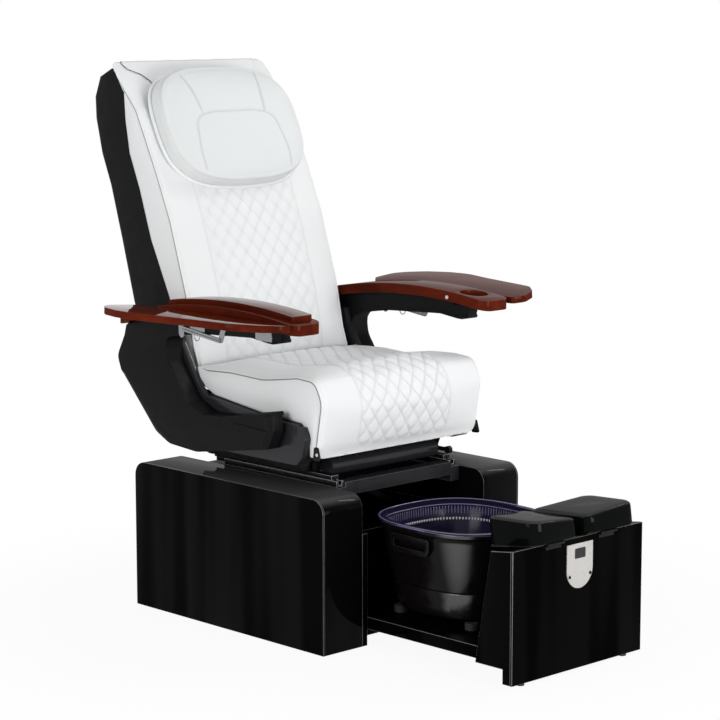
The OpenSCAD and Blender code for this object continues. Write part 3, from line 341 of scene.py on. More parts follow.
def finish_of(name, colour, rough=0.3, shine=0.0, shine_rough=0.05, painted_top_sheen=None, values=None, tint=None,
              tint_scale=8.0, tint_share=0.15, rough_scale=30.0, rough_swing=0.06, relief_scale=0.0,
              relief=0.0, relief_depth=0.0002, relief_kind="noise", stretch=(1, 1, 1), crease_shading=0.0, wave=0.0,
              reflection_bands=None, painted_top_colour=None, highlight_flank=None):
    """A Principled material: noise in its colour and gloss, a lacquer, fine relief, and painted shade along
    crease lines.

    The options for faces that look up paint a lighter colour and a stronger lacquer on them, painted light
    and painted sheen. The streak option paints soft upright streaks of reflection into the lacquer, and the
    one-way option paints a highlight band by keeping the lacquer to faces that look one way.
    """
    material, tree, shader, at = new_finish(name)
    for key, value in (values or {}).items():
        shader.inputs[key].default_value = value
    at = add_node(tree, "ShaderNodeMapping", {"Vector": at, "Scale": stretch}).outputs[0]
    patches = ranged(tree, noise(tree, at, tint_scale, 3.0), 0.0, tint_share)
    tint = tint or tuple(c * TINT_DARK for c in colour)
    base = blend(tree, patches, (*colour, 1), (*tint, 1))
    # Painted shade: the colour darkens where the mesh's shade attribute is high, along stitch lines and
    # seams.
    if crease_shading:
        shade_depth = add_node(tree, "ShaderNodeAttribute", attribute_name="crease").outputs["Fac"]
        dark = (*(c * CREASE_SHADE_DARK for c in colour), 1)
        base = blend(tree, maths(tree, "MULTIPLY", shade_depth, crease_shading), base, dark)
    # Painted light: faces that look up get a lighter colour.
    if painted_top_colour is not None:
        base = blend(tree, ranged(tree, facing_up(tree), 0.0, 1.0, 0.5, 0.95), base, (*painted_top_colour, 1))
    link(tree, base, shader.inputs["Base Color"])
    wear = noise(tree, at, rough_scale, 4.0)
    gloss = ranged(tree, wear, max(0.01, rough - rough_swing), rough + rough_swing)
    link(tree, gloss, shader.inputs["Roughness"])
    coat = shader.inputs["Coat Weight"]
    if shine:
        shader.inputs["Specular IOR Level"].default_value = 0.0
        coat.default_value = shine
        link(tree, ranged(tree, wear, shine_rough * 0.6, shine_rough * 1.4), shader.inputs["Coat Roughness"])
    # Painted reflection: upright noise streaks in the lacquer stand for soft reflections of the room.
    if reflection_bands:
        tall = add_node(tree, "ShaderNodeMapping", {"Vector": at, "Scale": (1, 1, 0.06)}).outputs[0]
        shine = ranged(tree, noise(tree, tall, 9.0, 1.0), reflection_bands[0], reflection_bands[1], 0.42, 0.56,
                       interpolation_type="SMOOTHSTEP")
        link(tree, shine, coat)
    # Painted highlight: the lacquer is kept to faces that look one way, a highlight band.
    if highlight_flank:
        mirrored = add_node(tree, "ShaderNodeVectorMath", {0: facing(tree)}, operation="ABSOLUTE").outputs[0]
        near = add_node(tree, "ShaderNodeVectorMath", {0: mirrored, 1: highlight_flank}, operation="DOT_PRODUCT")
        on_highlight_flank = ranged(tree, near.outputs["Value"], shine * 0.12, shine, 0.945, 0.995,
                          interpolation_type="SMOOTHSTEP")
        link(tree, on_highlight_flank, coat)
    # Painted sheen: faces that look up get a stronger lacquer.
    if painted_top_sheen is not None:
        link(tree, ranged(tree, facing_up(tree), shine, painted_top_sheen, 0.35, 0.9), coat)
    if wave:
        slow = bump(tree, noise(tree, at, 3.0, 1.0), 1.0, wave).outputs[0]
        link(tree, slow, shader.inputs["Normal"])
        link(tree, slow, shader.inputs["Coat Normal"])
    if relief:
        if relief_kind == "cells":
            height = add_node(tree, "ShaderNodeTexVoronoi", {"Vector": at, "Scale": relief_scale},
                              feature="SMOOTH_F1").outputs["Distance"]
        else:
            height = noise(tree, at, relief_scale, 2.0)
        raised = bump(tree, height, relief, relief_depth)
        if wave:
            link(tree, slow, raised.inputs["Normal"])
        link(tree, raised.outputs[0], shader.inputs["Normal"])
    return material


# %% Plastics, rubber and metal
# The acrylics get painted light and painted sheen on faces that look up, and painted reflection streaks.
acrylic = finish_of("acrylic_black", (0.0026, 0.0026, 0.0028), shine=0.05, shine_rough=0.03, painted_top_sheen=0.18,
                    wave=0.0006, reflection_bands=(0.02, 0.10), painted_top_colour=(0.05, 0.05, 0.052))
# A darker, less glossy copy of the same black acrylic: painted shade on the bay, riser, platform and footrest
# panels.
acrylic_front_shaded = finish_of("acrylic_front_shaded", (0.0016, 0.0016, 0.0017), shine=0.02, shine_rough=0.03,
                          painted_top_sheen=0.12, wave=0.0006, reflection_bands=(0.006, 0.045))
# Painted light and painted sheen on the pads' tops.
pad_gloss = finish_of("pad_black", (0.0025, 0.0031, 0.0029), shine=0.07, shine_rough=0.07, painted_top_sheen=0.16,
                      wave=0.002, painted_top_colour=(0.03, 0.031, 0.03))
plate_white = finish_of("plate_white", (0.47, 0.455, 0.44), relief_scale=900, relief=0.08)
window_dark = finish_of("window_dark", (0.03, 0.03, 0.032), 0.2, shine=0.3)
rubber = finish_of("rubber_black", (0.012, 0.012, 0.012), 0.75, relief_scale=800, relief=0.3)
plastic_dark = finish_of("plastic_dark", (0.0075, 0.0075, 0.0085), 0.28, shine=0.3, shine_rough=0.25,
                         relief_scale=1500, relief=0.12)
plastic_gloss = finish_of("plastic_gloss", (0.019, 0.019, 0.0225), shine=0.5, shine_rough=0.2, wave=0.001)
panel_charcoal = finish_of("panel_charcoal", (0.02, 0.02, 0.0225), 0.4, shine=0.2, shine_rough=0.3)
# Painted highlights: the bevels of sharp edges get these lighter finishes, thin bright lines where the edges
# catch the light.
edge_highlight_pale = finish_of("edge_highlight_pale", (0.16, 0.145, 0.135), tint=(0.10, 0.085, 0.075), tint_scale=6,
                       tint_share=1.0)
edge_highlight_steel = finish_of("edge_highlight_steel", (0.30, 0.30, 0.31), tint_scale=12, tint_share=0.9)
edge_highlight_grey = finish_of("edge_highlight_grey", (0.042, 0.042, 0.045), 0.35, tint_scale=9, tint_share=0.8)
edge_highlight_wood = finish_of("edge_highlight_wood", (0.20, 0.085, 0.06), tint=(0.07, 0.018, 0.01), tint_scale=11,
                      tint_share=1.0)
shell_black = finish_of("shell_black", (0.0042, 0.0042, 0.0045), 0.62, values={"Specular IOR Level": 0.1},
                        relief_scale=1400, relief=0.35, relief_depth=0.00025, relief_kind="cells")
arm_charcoal = finish_of("arm_charcoal", (0.0068, 0.007, 0.0076), 0.42, shine=0.15, shine_rough=0.34,
                         relief_scale=1600, relief=0.22)
steel_black = finish_of("steel_black", (0.006, 0.006, 0.0065), 0.35, shine=0.3, shine_rough=0.25,
                        relief_scale=700, relief=0.15)
steel_bright = finish_of("steel_bright", (0.55, 0.55, 0.56), values={"Metallic": 1.0}, rough_swing=0.1,
                         rough_scale=90, stretch=(1, 0.15, 1))
steel_zinc = finish_of("steel_zinc", (0.30, 0.31, 0.32), 0.42, values={"Metallic": 1.0}, rough_swing=0.12,
                       rough_scale=160)
cap_white = finish_of("cap_white", (0.62, 0.60, 0.58), 0.35)
roller_grey = finish_of("roller_grey", (0.12, 0.12, 0.125), 0.7, relief_scale=700, relief=0.3)
# Painted highlight: the tub's lacquer is kept to one band of faces, where a soft upright highlight shows.
tub_brown = finish_of("tub_brown", (0.0042, 0.0032, 0.0038), shine=1.0, shine_rough=0.22, wave=0.001,
                      values={"Coat IOR": 1.8}, highlight_flank=(0.88, 0.475, 0.1))
liner_indigo = finish_of("liner_indigo", (0.018, 0.014, 0.042), 0.2, shine=0.16, shine_rough=0.12,
                         values={"Transmission Weight": 0.15, "IOR": 1.4}, wave=0.002)
# The lip and ribs are real; this much paler copy of the liner's colour on them is painted highlight.
liner_rim_lit = finish_of("liner_rim_lit", (0.20, 0.18, 0.34), 0.2, shine=1.0, shine_rough=0.12,
                       values={"Transmission Weight": 0.2, "IOR": 1.4}, tint_scale=20, tint_share=0.6)
# The bead row is modelled; its near-white colour is painted glints.
liner_bead_glint = finish_of("liner_bead_glint", (0.82, 0.80, 0.86), 0.2, shine=1.0, shine_rough=0.15, tint_scale=60,
                       tint_share=0.9)

# %% Leather and thread
# Both leathers darken along crease lines and seams, a painted shade.
SOFT_LEATHER = {"rough": 0.46, "values": {"Specular IOR Level": 0.35}, "tint_scale": 5, "tint_share": 0.35,
                "relief_scale": 900, "relief": 0.28, "relief_depth": 0.00035, "relief_kind": "cells",
                "rough_scale": 60, "crease_shading": 0.2}
leather = finish_of("leather_white", (0.80, 0.815, 0.82), tint=(0.765, 0.785, 0.795), **SOFT_LEATHER)
# A darker copy of the same white leather for the pillow, painted shade.
leather_pillow_shaded = finish_of("leather_pillow_shaded", (0.725, 0.745, 0.745), tint=(0.69, 0.715, 0.715), **SOFT_LEATHER)
piping_leather = finish_of("leather_piping", (0.82, 0.83, 0.835), 0.42, relief_scale=1100, relief=0.25,
                           relief_depth=0.0003, relief_kind="cells")
thread = finish_of("thread_white", (0.78, 0.795, 0.80), 0.6, relief_scale=3500, relief=0.4)
# Painted shadow: the grey of a cord laid beside the piping, for the shade along it.
piping_shade_tone = finish_of("piping_shade_grey", (0.26, 0.265, 0.27), 0.7, relief_scale=1500, relief=0.2)
# Painted shadow: a dark cord for the shade in the gap under the pillow's flap.
flap_gap_shade = finish_of("seam_shadow", (0.05, 0.05, 0.055), 0.7, relief_scale=1500, relief=0.2)


# %% Lacquered mahogany
def mahogany(name, coat):
    """Dark red-brown wood: long grain stripes, short pores, and a clear gloss coat that is painted strong
    only on what faces up, a painted sheen.
    """
    material, tree, shader, at = new_finish(name)
    shader.inputs["Specular IOR Level"].default_value = 0.0
    # Painted sheen: the coat is strong only where a face looks up.
    link(tree, ranged(tree, facing_up(tree), 0.05, coat, 0.4, 0.95), shader.inputs["Coat Weight"])
    along = add_node(tree, "ShaderNodeMapping", {"Vector": at, "Scale": (1, 0.07, 0.4)}).outputs[0]
    broad = noise(tree, along, 26.0, 4.0, Distortion=0.6)
    pores = noise(tree, along, 420.0, 2.0)
    total = maths(tree, "ADD", broad, maths(tree, "MULTIPLY", pores, 0.35))
    ramp = add_node(tree, "ShaderNodeValToRGB", {0: total})
    dark, light = ramp.color_ramp.elements
    dark.position, dark.color = 0.4, (0.045, 0.005, 0.002, 1)
    light.position, light.color = 0.95, (0.13, 0.018, 0.0065, 1)
    link(tree, ramp.outputs["Color"], shader.inputs["Base Color"])
    link(tree, ranged(tree, broad, 0.28, 0.42, 0.0, 1.0), shader.inputs["Roughness"])
    link(tree, ranged(tree, broad, 0.02, 0.07, 0.0, 1.0), shader.inputs["Coat Roughness"])
    link(tree, bump(tree, pores, 0.06, 0.0002).outputs[0], shader.inputs["Normal"])
    return material


wood = mahogany("wood_dark", 0.25)
# The same wood with a stronger coat on the right leaf and the lid, painted reflection.
wood_sheen_painted = mahogany("wood_sheen_painted", 0.75)
print("finishes:", len(bpy.data.materials))


# %% [markdown]
# ## Rigid parts keep their frame shape
#
# A CAD mesh comes as loose flat triangles. Three live modifiers make it fit for close viewing:
# Weld joins the triangles, a small Bevel rounds the edges as a saw cut or a mould rounds them,
# and a short Geometry Nodes tree shades everything smooth except edges sharper than a limit.

# %% A tree that shades smooth up to an angle
SHARP_FROM = math.radians(38)
WELD_DISTANCE = 0.00001


def smooth_tree():
    tree, enter, leave = geometry_tree("smooth_up_to_angle", {"Geometry": "Geometry", "Sharp From": "Float"},
                                       "Geometry")
    tree.interface.items_tree["Sharp From"].default_value = SHARP_FROM
    bend = tree.nodes.new("GeometryNodeInputMeshEdgeAngle").outputs["Unsigned Angle"]
    sharp = add_node(tree, "FunctionNodeCompare", {0: bend, 1: enter.outputs["Sharp From"]},
                     data_type="FLOAT", operation="GREATER_THAN")
    smooth = {"Geometry": enter.outputs["Geometry"], "Shade Smooth": True}
    faces = add_node(tree, "GeometryNodeSetShadeSmooth", smooth, domain="FACE")
    flat = {"Geometry": faces.outputs[0], "Selection": sharp.outputs[0], "Shade Smooth": False}
    edges = add_node(tree, "GeometryNodeSetShadeSmooth", flat, domain="EDGE")
    link(tree, edges.outputs[0], leave.inputs["Geometry"])
    return tree


SMOOTH = smooth_tree()


def dress(names, material, bevel=0.0, segments=2, edge=None):
    """Gives CAD parts a finish, joined faces, softened edges and smooth shading, and may paint highlights on
    the bevelled edges.
    """
    for name in names if isinstance(names, (list, tuple)) else [names]:
        part = nodes[name]
        part.data.materials.clear()
        part.data.materials.append(material)
        modified(part, "WELD", merge_threshold=WELD_DISTANCE)
        if bevel:
            # Painted highlight: the bevel faces get the lighter edge finish.
            if edge:
                part.data.materials.append(edge)
            modified(part, "BEVEL", width=bevel, segments=segments, limit_method="ANGLE",
                     angle_limit=SHARP_FROM, material=1 if edge else -1)
        modified(part, "NODES", node_group=SMOOTH)


def pair(name):
    return [name + "_left", name + "_right"]


# %% Cabinets and platform
dress(pair("side_panel") + ["rear_panel"], acrylic, 0.0008, edge=edge_highlight_pale)
dress(pair("bay_panel") + ["riser_panel", "footrest_front"], acrylic_front_shaded, 0.0011, edge=edge_highlight_pale)
dress(pair("cabinet_skin"), acrylic, 0.0012, edge=edge_highlight_pale)
dress(["platform", "footrest_cabinet"], acrylic_front_shaded, 0.0012, edge=edge_highlight_pale)
dress("front_plate", plate_white, 0.0008)
dress("plate_screws", steel_black)
dress("glide_feet", rubber)
dress(["footrest_hinge", "footrest_carrier"], steel_black, 0.0006)
dress("base_frame", panel_charcoal, 0.001, edge=edge_highlight_grey)
dress(pair("slide_rail"), steel_black, 0.0009, edge=edge_highlight_steel)
dress("mains_inlet", plastic_dark)
dress(pair("foot_pad"), pad_gloss)

# %% Tub
dress(["tub_body", "tub_base"], tub_brown, 0.0012)
dress(pair("tub_handle"), tub_brown, 0.0014, edge=edge_highlight_grey)
dress("tub_feet", rubber)
dress("tub_liner", liner_indigo)

# %% Seat frame, arms and leaves
dress("seat_frame", steel_black, 0.0006)
dress(pair("rail_runner"), steel_black, 0.0008, edge=edge_highlight_steel)
dress("cross_tube", plastic_gloss)
dress("slide_lever", plastic_dark)
dress(pair("seat_side_cover"), plastic_gloss, 0.0018, edge=edge_highlight_grey)
dress(pair("arm"), arm_charcoal, 0.0016, 3, edge=edge_highlight_grey)
dress(pair("arm_board") + ["tray_leaf_left"], wood, 0.002, 3, edge=edge_highlight_wood)
dress(["tray_leaf_right", "board_lid"], wood_sheen_painted, 0.002, 3, edge=edge_highlight_wood)
dress("arm_caps", cap_white)
dress(pair("leaf_bracket") + pair("leaf_strut"), steel_zinc)

# %% Back and its mechanism
dress("back_shell", shell_black, 0.0012)
dress("back_frame", steel_black, 0.0006)
dress(["recline_pins", "recline_rod", "massage_rails", "lead_screw"], steel_bright)
dress(["recline_motor", "control_box"], plastic_dark, 0.0012)
dress("massage_carriage", steel_black, 0.0005)
dress("kneading_rollers", roller_grey)
# %% [markdown]
# ## Seat and back cushions
#
# Each cushion is one stuffed shape: a quilted face down the middle, a plain border on both
# sides, a piped edge, and a flat side panel. It is drawn as rows across the chair, one row for
# every few millimetres along the face, so the rows can line up with the quilting. A coarse copy
# is then filled with Blender's Cloth under a little pressure, and the fine mesh follows it.

# %% Profiles of both cushions, as [y, z] in millimetres
SEAT_FACE = profile([[560, 668], [430, 674], [300, 670], [170, 688], [100, 684], [70, 628], [96, 480]])
SEAT_FACE_R = [0, 200, 200, 80, 45, 70, 0]
SEAT_UNDER = profile([[560, 668], [566, 634], [493, 600], [303, 576], [152, 566], [126, 540],
                      [122, 484], [96, 480]])
BACK_FACE = profile([[936, 1462], [890, 1415], [820, 1340], [735, 1170], [680, 1045], [617, 848],
                     [590, 720], [574, 672], [568, 620]])
BACK_FACE_R = [0, 60, 80, 150, 200, 200, 80, 0, 0]
BACK_UNDER = profile([[936, 1462], [918, 1442], [876, 1385], [871, 1309], [855, 1219], [814, 1124],
                      [768, 991], [693, 840], [640, 700], [612, 625], [568, 620]])

# %% Sizes of the quilting
HALF_WIDTH = {"seat": 0.290, "back": 0.275}
QUILT_HALF = 0.161
DIAMOND_W = QUILT_HALF * 2 / 7
DIAMOND_H = 0.060
CELLS = 12
CELL_W, CELL_H = DIAMOND_W / CELLS, DIAMOND_H / CELLS
PUFF = 0.0036
QUILT_SINK = 0.0012
SEAM_SINK, SEAM_WIDTH = 0.0016, 0.0025
EDGE_R = 0.012
SIDE_STEPS, UNDER_STEPS = 14, 10


def columns_across(half, edge_r):
    """Places across a face: close together at the rounded edges, one quilt cell apart inside."""
    round_part = [half - edge_r + edge_r * math.sin(a * math.pi / 10) for a in range(1, 6)]
    border = list(np.linspace(QUILT_HALF, half - edge_r, 16)[1:])
    quilt = [k * CELL_W for k in range(int(CELLS * 3.5) + 1)]
    side = quilt + border + round_part
    return np.array([-x for x in side[:0:-1]] + side)


def smooth_step(t):
    t = np.clip(t, 0, 1)
    return t * t * (3 - 2 * t)


def inward_2d(path):
    """For each point of a path, the direction to the cushion's inside."""
    along = unit(np.gradient(path, axis=0))
    return np.stack([-along[:, 1], along[:, 0]], 1)


def cushion_rings(face, under, half, crown, edge_r, tip_rows, nose_rows, swell=0.005):
    """Rings of points, one ring a row: across the face, down one side, back underneath, up the other."""
    xs = columns_across(half, edge_r)
    rows = len(face)
    inner = inward_2d(face)
    share = smooth_step(np.arange(rows) / tip_rows) * smooth_step((rows - 1 - np.arange(rows)) / nose_rows)
    drop = edge_r - np.sqrt(np.maximum(0, edge_r**2 - np.maximum(0, np.abs(xs) - half + edge_r) ** 2))
    sink = drop[None, :] * share[:, None] - crown * (1 - (xs / half) ** 2)[None, :] * share[:, None]
    yz = face[:, None, :] + inner[:, None, :] * sink[:, :, None]
    face_grid = np.concatenate([np.broadcast_to(xs[None, :, None], (rows, len(xs), 1)), yz], 2)
    ts = np.arange(1, SIDE_STEPS) / SIDE_STEPS

    def side(sign):
        edge = face_grid[:, -1 if sign > 0 else 0]
        low = np.concatenate([np.full((rows, 1), sign * half), under], 1)
        out = edge[:, None] * (1 - ts)[None, :, None] + low[:, None] * ts[None, :, None]
        thick = np.linalg.norm(edge - low, axis=1)
        out[:, :, 0] += sign * swell * np.sin(np.pi * ts)[None] * np.minimum(1, thick / 0.06)[:, None]
        return out

    cross = np.linspace(1, -1, UNDER_STEPS + 1) * half
    low = np.concatenate([np.broadcast_to(cross[None, :, None], (rows, len(cross), 1)),
                          np.broadcast_to(under[:, None, :], (rows, len(cross), 2))], 2)
    return np.concatenate([face_grid, side(1), low, side(-1)[:, ::-1]], 1), len(xs)


def ring_faces(rows, width, creased=None):
    """Quads between the rings. Where a crease runs from corner to corner, the quad is split along it."""
    faces = []
    for i in range(rows - 1):
        for k in range(width):
            a, b = i * width + k, i * width + (k + 1) % width
            c, d = b + width, a + width
            way = creased(i, k) if creased else 0
            if way > 0:
                faces += [(a, d, c), (a, c, b)]
            elif way < 0:
                faces += [(a, d, b), (d, c, b)]
            else:
                faces.append((a, d, c, b))
    return faces


def end_caps(rows, width, face_count):
    """Strips that close a stack of rings at both ends, straight across between face and underside."""
    faces = []
    for row, flip in ((0, False), (rows - 1, True)):
        ring = [row * width + k for k in range(width)]
        right, left = face_count + SIDE_STEPS - 1, face_count + SIDE_STEPS + UNDER_STEPS
        top, low = ring[left:] + ring[:right], ring[right:left][::-1]
        i, j, top_end, low_end = 0, 0, len(top) - 1, len(low) - 1
        while i < top_end or j < low_end:
            if j == low_end or (i < top_end and (i + 1) / top_end <= (j + 1) / low_end):
                tri, i = (top[i], top[i + 1], low[j]), i + 1
            else:
                tri, j = (top[i], low[j + 1], low[j]), j + 1
            faces.append(tri[::-1] if flip else tri)
    return faces


# %% Cloth under pressure, on a coarse copy
CLOTH_FRAMES = 20
COARSE_STEP = 4
PINCHED = 0.0009


def pumped(name, points, rows, width, keep, pressure, cap, hold_end=True):
    """How far each point of a coarse ring mesh moves when the cover is filled, at most cap."""
    col_at = np.unique(np.r_[np.arange(0, width, COARSE_STEP), width - 1])
    # Rows where the cover is pinched flat have springs of no length, which stop the solver
    gaps = np.linalg.norm(np.diff(points[:, np.r_[col_at, 0]], axis=1), axis=2).min(axis=1)
    open_rows = np.nonzero(gaps > PINCHED)[0]
    row_at = np.unique(np.r_[np.arange(open_rows[0], open_rows[-1], COARSE_STEP), open_rows[-1]])
    coarse = points[np.ix_(row_at, col_at)]
    n, m = coarse.shape[:2]
    obj = make_object(name, coarse.reshape(-1, 3), ring_faces(n, m))
    group = obj.vertex_groups.new(name="held")
    held = keep[np.ix_(row_at, col_at)]
    held[0] = 1
    if hold_end:
        held[-1] = 1
    held = held.ravel()
    for index in np.nonzero(held > 0)[0]:
        group.add([int(index)], float(held[index]), "REPLACE")
    cloth = modified(obj, "CLOTH")
    set_all(cloth.settings, quality=4, mass=0.4, tension_stiffness=40, compression_stiffness=40,
            shear_stiffness=15, bending_stiffness=3, use_pressure=True, uniform_pressure_force=pressure,
            vertex_group_mass="held")
    cloth.settings.effector_weights.gravity = 0
    set_all(cloth.collision_settings, use_self_collision=False, use_collision=False)
    set_all(cloth.point_cache, frame_start=1, frame_end=CLOTH_FRAMES)
    scene = bpy.context.scene
    for step in range(1, CLOTH_FRAMES + 1):
        scene.frame_set(step)
    evaluated = obj.evaluated_get(bpy.context.evaluated_depsgraph_get())
    after = np.zeros(len(evaluated.data.vertices) * 3)
    evaluated.data.vertices.foreach_get("co", after)
    move = after.reshape(n, m, 3) - coarse
    size = np.linalg.norm(move, axis=2, keepdims=True)
    move *= np.minimum(1, cap / np.maximum(size, 1e-9))
    mesh = obj.data
    bpy.data.objects.remove(obj)
    bpy.data.meshes.remove(mesh)
    scene.frame_set(1)
    print(name, "cover moved at most", round(float(size.max()) * 1000, 1), "mm before the cap")
    wide = np.stack([np.stack([np.interp(np.arange(width), col_at, move[i, :, c]) for c in range(3)], 1)
                     for i in range(n)])
    return np.stack([np.stack([np.interp(np.arange(rows), row_at, wide[:, k, c]) for c in range(3)], 1)
                     for k in range(width)], 1)


# %% Quilting
def crease_depth(x, s):
    """Height of the padding over its stitch lines: full in the middle of a diamond, none on a line."""
    u, v = x / DIAMOND_W + s / DIAMOND_H, x / DIAMOND_W - s / DIAMOND_H
    return (np.abs(np.sin(np.pi * u)) * np.abs(np.sin(np.pi * v))) ** 0.45


def quilted(grid, rows_at, first, last):
    """Pushes the middle panel of a face out between its stitch lines, from one row to another, and gives a
    mask of painted shade along those lines and the border seams.
    """
    xs = grid[0, :, 0]
    normal = unit(np.cross(np.gradient(grid, axis=0), np.gradient(grid, axis=1)))
    x, s = np.meshgrid(xs, rows_at)
    inside = smooth_step((QUILT_HALF + CELL_W * 0.5 - np.abs(x)) / CELL_W)
    rows = np.arange(len(rows_at))
    band = smooth_step((rows - first) / 4) * smooth_step((last - rows) / 4)
    height = PUFF * crease_depth(x, s) * inside * band[:, None]
    seam = np.exp(-(((np.abs(x) - QUILT_HALF) / SEAM_WIDTH) ** 2)) * band[:, None]
    # Painted shade: darkest on the stitch lines and the border seams.
    dark = np.maximum(inside * band[:, None] * (1 - crease_depth(x, s)) ** 3, seam * 0.7)
    moved = grid + normal * (height - SEAM_SINK * seam - QUILT_SINK * inside * band[:, None])[:, :, None]
    return moved, normal, np.clip(dark, 0, 1)


# %% [markdown]
# The creases run diagonally through the cells of the grid, so every crease passes exactly
# through grid points. A quad that a crease crosses is split along it, which keeps the stitch
# line crisp instead of letting it zigzag.

# %% Which way a crease crosses a quad
def crease_way(quilt_column, first, last):
    """A test for the quad at row i, column k: +1 or -1 where a crease runs through it, else 0."""
    def way(i, k):
        column = k - quilt_column
        if not (first <= i < last and 0 <= column < 7 * CELLS):
            return 0
        x = column - 3.5 * CELLS
        # x/W + s/H is whole along falling creases and x/W - s/H along rising ones
        for at, turn in (((x + 1 + i) / CELLS, -1), ((x - i) / CELLS, 1)):
            if abs(at - round(at)) < 1e-6:
                return turn
        return 0
    return way


# %% Rounded corners
def corner_drawn_in(points, row_from, half, radius):
    """Narrows the rows towards a cushion's end, so that its corners are round seen from the face."""
    rows = points.shape[0]
    steps = np.linalg.norm(np.diff(points[:, points.shape[1] // 3], axis=0), axis=1)
    to_end = np.r_[np.cumsum(steps[::-1])[::-1], 0] if row_from > 0 else np.r_[0, np.cumsum(steps)]
    pull = radius - np.sqrt(np.maximum(0, radius**2 - np.maximum(0, radius - to_end) ** 2))
    points[:, :, 0] *= (1 - pull / half)[:, None]
    return points


# %% Build both cushions
def set_crease_shade(obj, shade_depths):
    """Writes how much painted shade each point gets along crease lines and seams, from 0 to 1, for the
    leather's colour.
    """
    obj.data.attributes.new("crease", "FLOAT", "POINT").data.foreach_set("value", shade_depths)


def build_cushion(name, face, face_r, under, crown, tip_rows, nose_rows, quilt_rows, cap, pressure,
                  corners, piped):
    """A closed cushion mesh with its quilting, and the grid of its face for what is sewn on it."""
    path = round_corners(face, face_r, 8)
    length = path_length(path)
    rows = int(round(length / CELL_H)) + 1
    half = HALF_WIDTH[name]
    points, face_count = cushion_rings(spaced(path, rows - 1), spaced(under, rows - 1), half, crown,
                                       EDGE_R, tip_rows, nose_rows)
    width = points.shape[1]
    keep = np.zeros((rows, width))
    keep[:, face_count + SIDE_STEPS - 1:face_count + SIDE_STEPS + UNDER_STEPS] = 1
    keep[:, [0, face_count - 1]] = 1
    keep[:3] = keep[-3:] = 1
    points = points + pumped(name + "_cover", points, rows, width, keep, pressure, cap)
    for row_from, radius in corners:
        points = corner_drawn_in(points, row_from, half, radius)
    s_at = np.arange(rows) * CELL_H
    first, last = quilt_rows[0], rows - 1 - quilt_rows[1]
    face_grid, normal, crease = quilted(points[:, :face_count], s_at, first, last)
    points[:, :face_count] = face_grid
    quilt_column = int(np.argmin(np.abs(points[rows // 2, :face_count, 0] + QUILT_HALF)))
    faces = ring_faces(rows, width, crease_way(quilt_column, first, last)) + end_caps(rows, width, face_count)
    cushion = make_object(name + "_cushion_cover", points.reshape(-1, 3), faces)
    # Painted shade along the quilting, on the face only.
    shade = np.zeros((rows, width), np.float32)
    shade[:, :face_count] = crease
    set_crease_shade(cushion, shade.ravel())
    print(name, "cushion:", rows, "rows,", len(faces), "faces, face length", round(length, 3), "m")
    return {"name": name, "object": cushion, "face": face_grid, "normal": normal,
            "quilt": (first, last), "piped": (piped[0], rows - piped[1])}


seat = build_cushion("seat", SEAT_FACE, SEAT_FACE_R, SEAT_UNDER, crown=0.008, tip_rows=8, nose_rows=8,
                     quilt_rows=(2, 3), cap=0.008, pressure=3.0, corners=[(1, 0.028)], piped=(2, 1))
back = build_cushion("back", BACK_FACE, BACK_FACE_R, BACK_UNDER, crown=0.006, tip_rows=22, nose_rows=6,
                     quilt_rows=(30, 2), cap=0.008, pressure=3.0, corners=[(-1, 0.022)], piped=(4, 2))
seat_cover, back_cover = seat["object"], back["object"]
# %% [markdown]
# ## Piping, seams and stitches
#
# Piping is a cord rolled into a strip of leather, so it is a round tube that follows the edge it
# is sewn into. Stitches repeat at a fixed step along a seam, so a Geometry Nodes tree lays them:
# it resamples the seam and puts one short thread on each point.

# %% Tubes along a path
def tube(name, path, radius, material, around=10, closed=False, taper=0):
    """A round cord along a path of points, capped at its ends, where it may also taper."""
    path = [Vector(p) for p in path]
    n, verts, side = len(path), [], None
    for i, p in enumerate(path):
        a = path[(i - 1) % n] if closed or i else path[0]
        b = path[(i + 1) % n] if closed or i < n - 1 else path[-1]
        along = (b - a).normalized()
        if side is None:
            side = along.orthogonal().normalized()
        side = (side - along * side.dot(along)).normalized()
        up = along.cross(side)
        r = radius
        if taper and not closed:
            r *= min(1.0, 0.25 + 0.75 * min(i, n - 1 - i) / taper)
        for k in range(around):
            t = 2 * math.pi * k / around
            verts.append(p + side * (r * math.cos(t)) + up * (r * math.sin(t)))
    faces = ring_quads(n, around, closed)
    if not closed:
        faces.append(tuple(range(around))[::-1])
        faces.append(tuple((n - 1) * around + k for k in range(around)))
    return make_object(name, verts, faces, material=material)


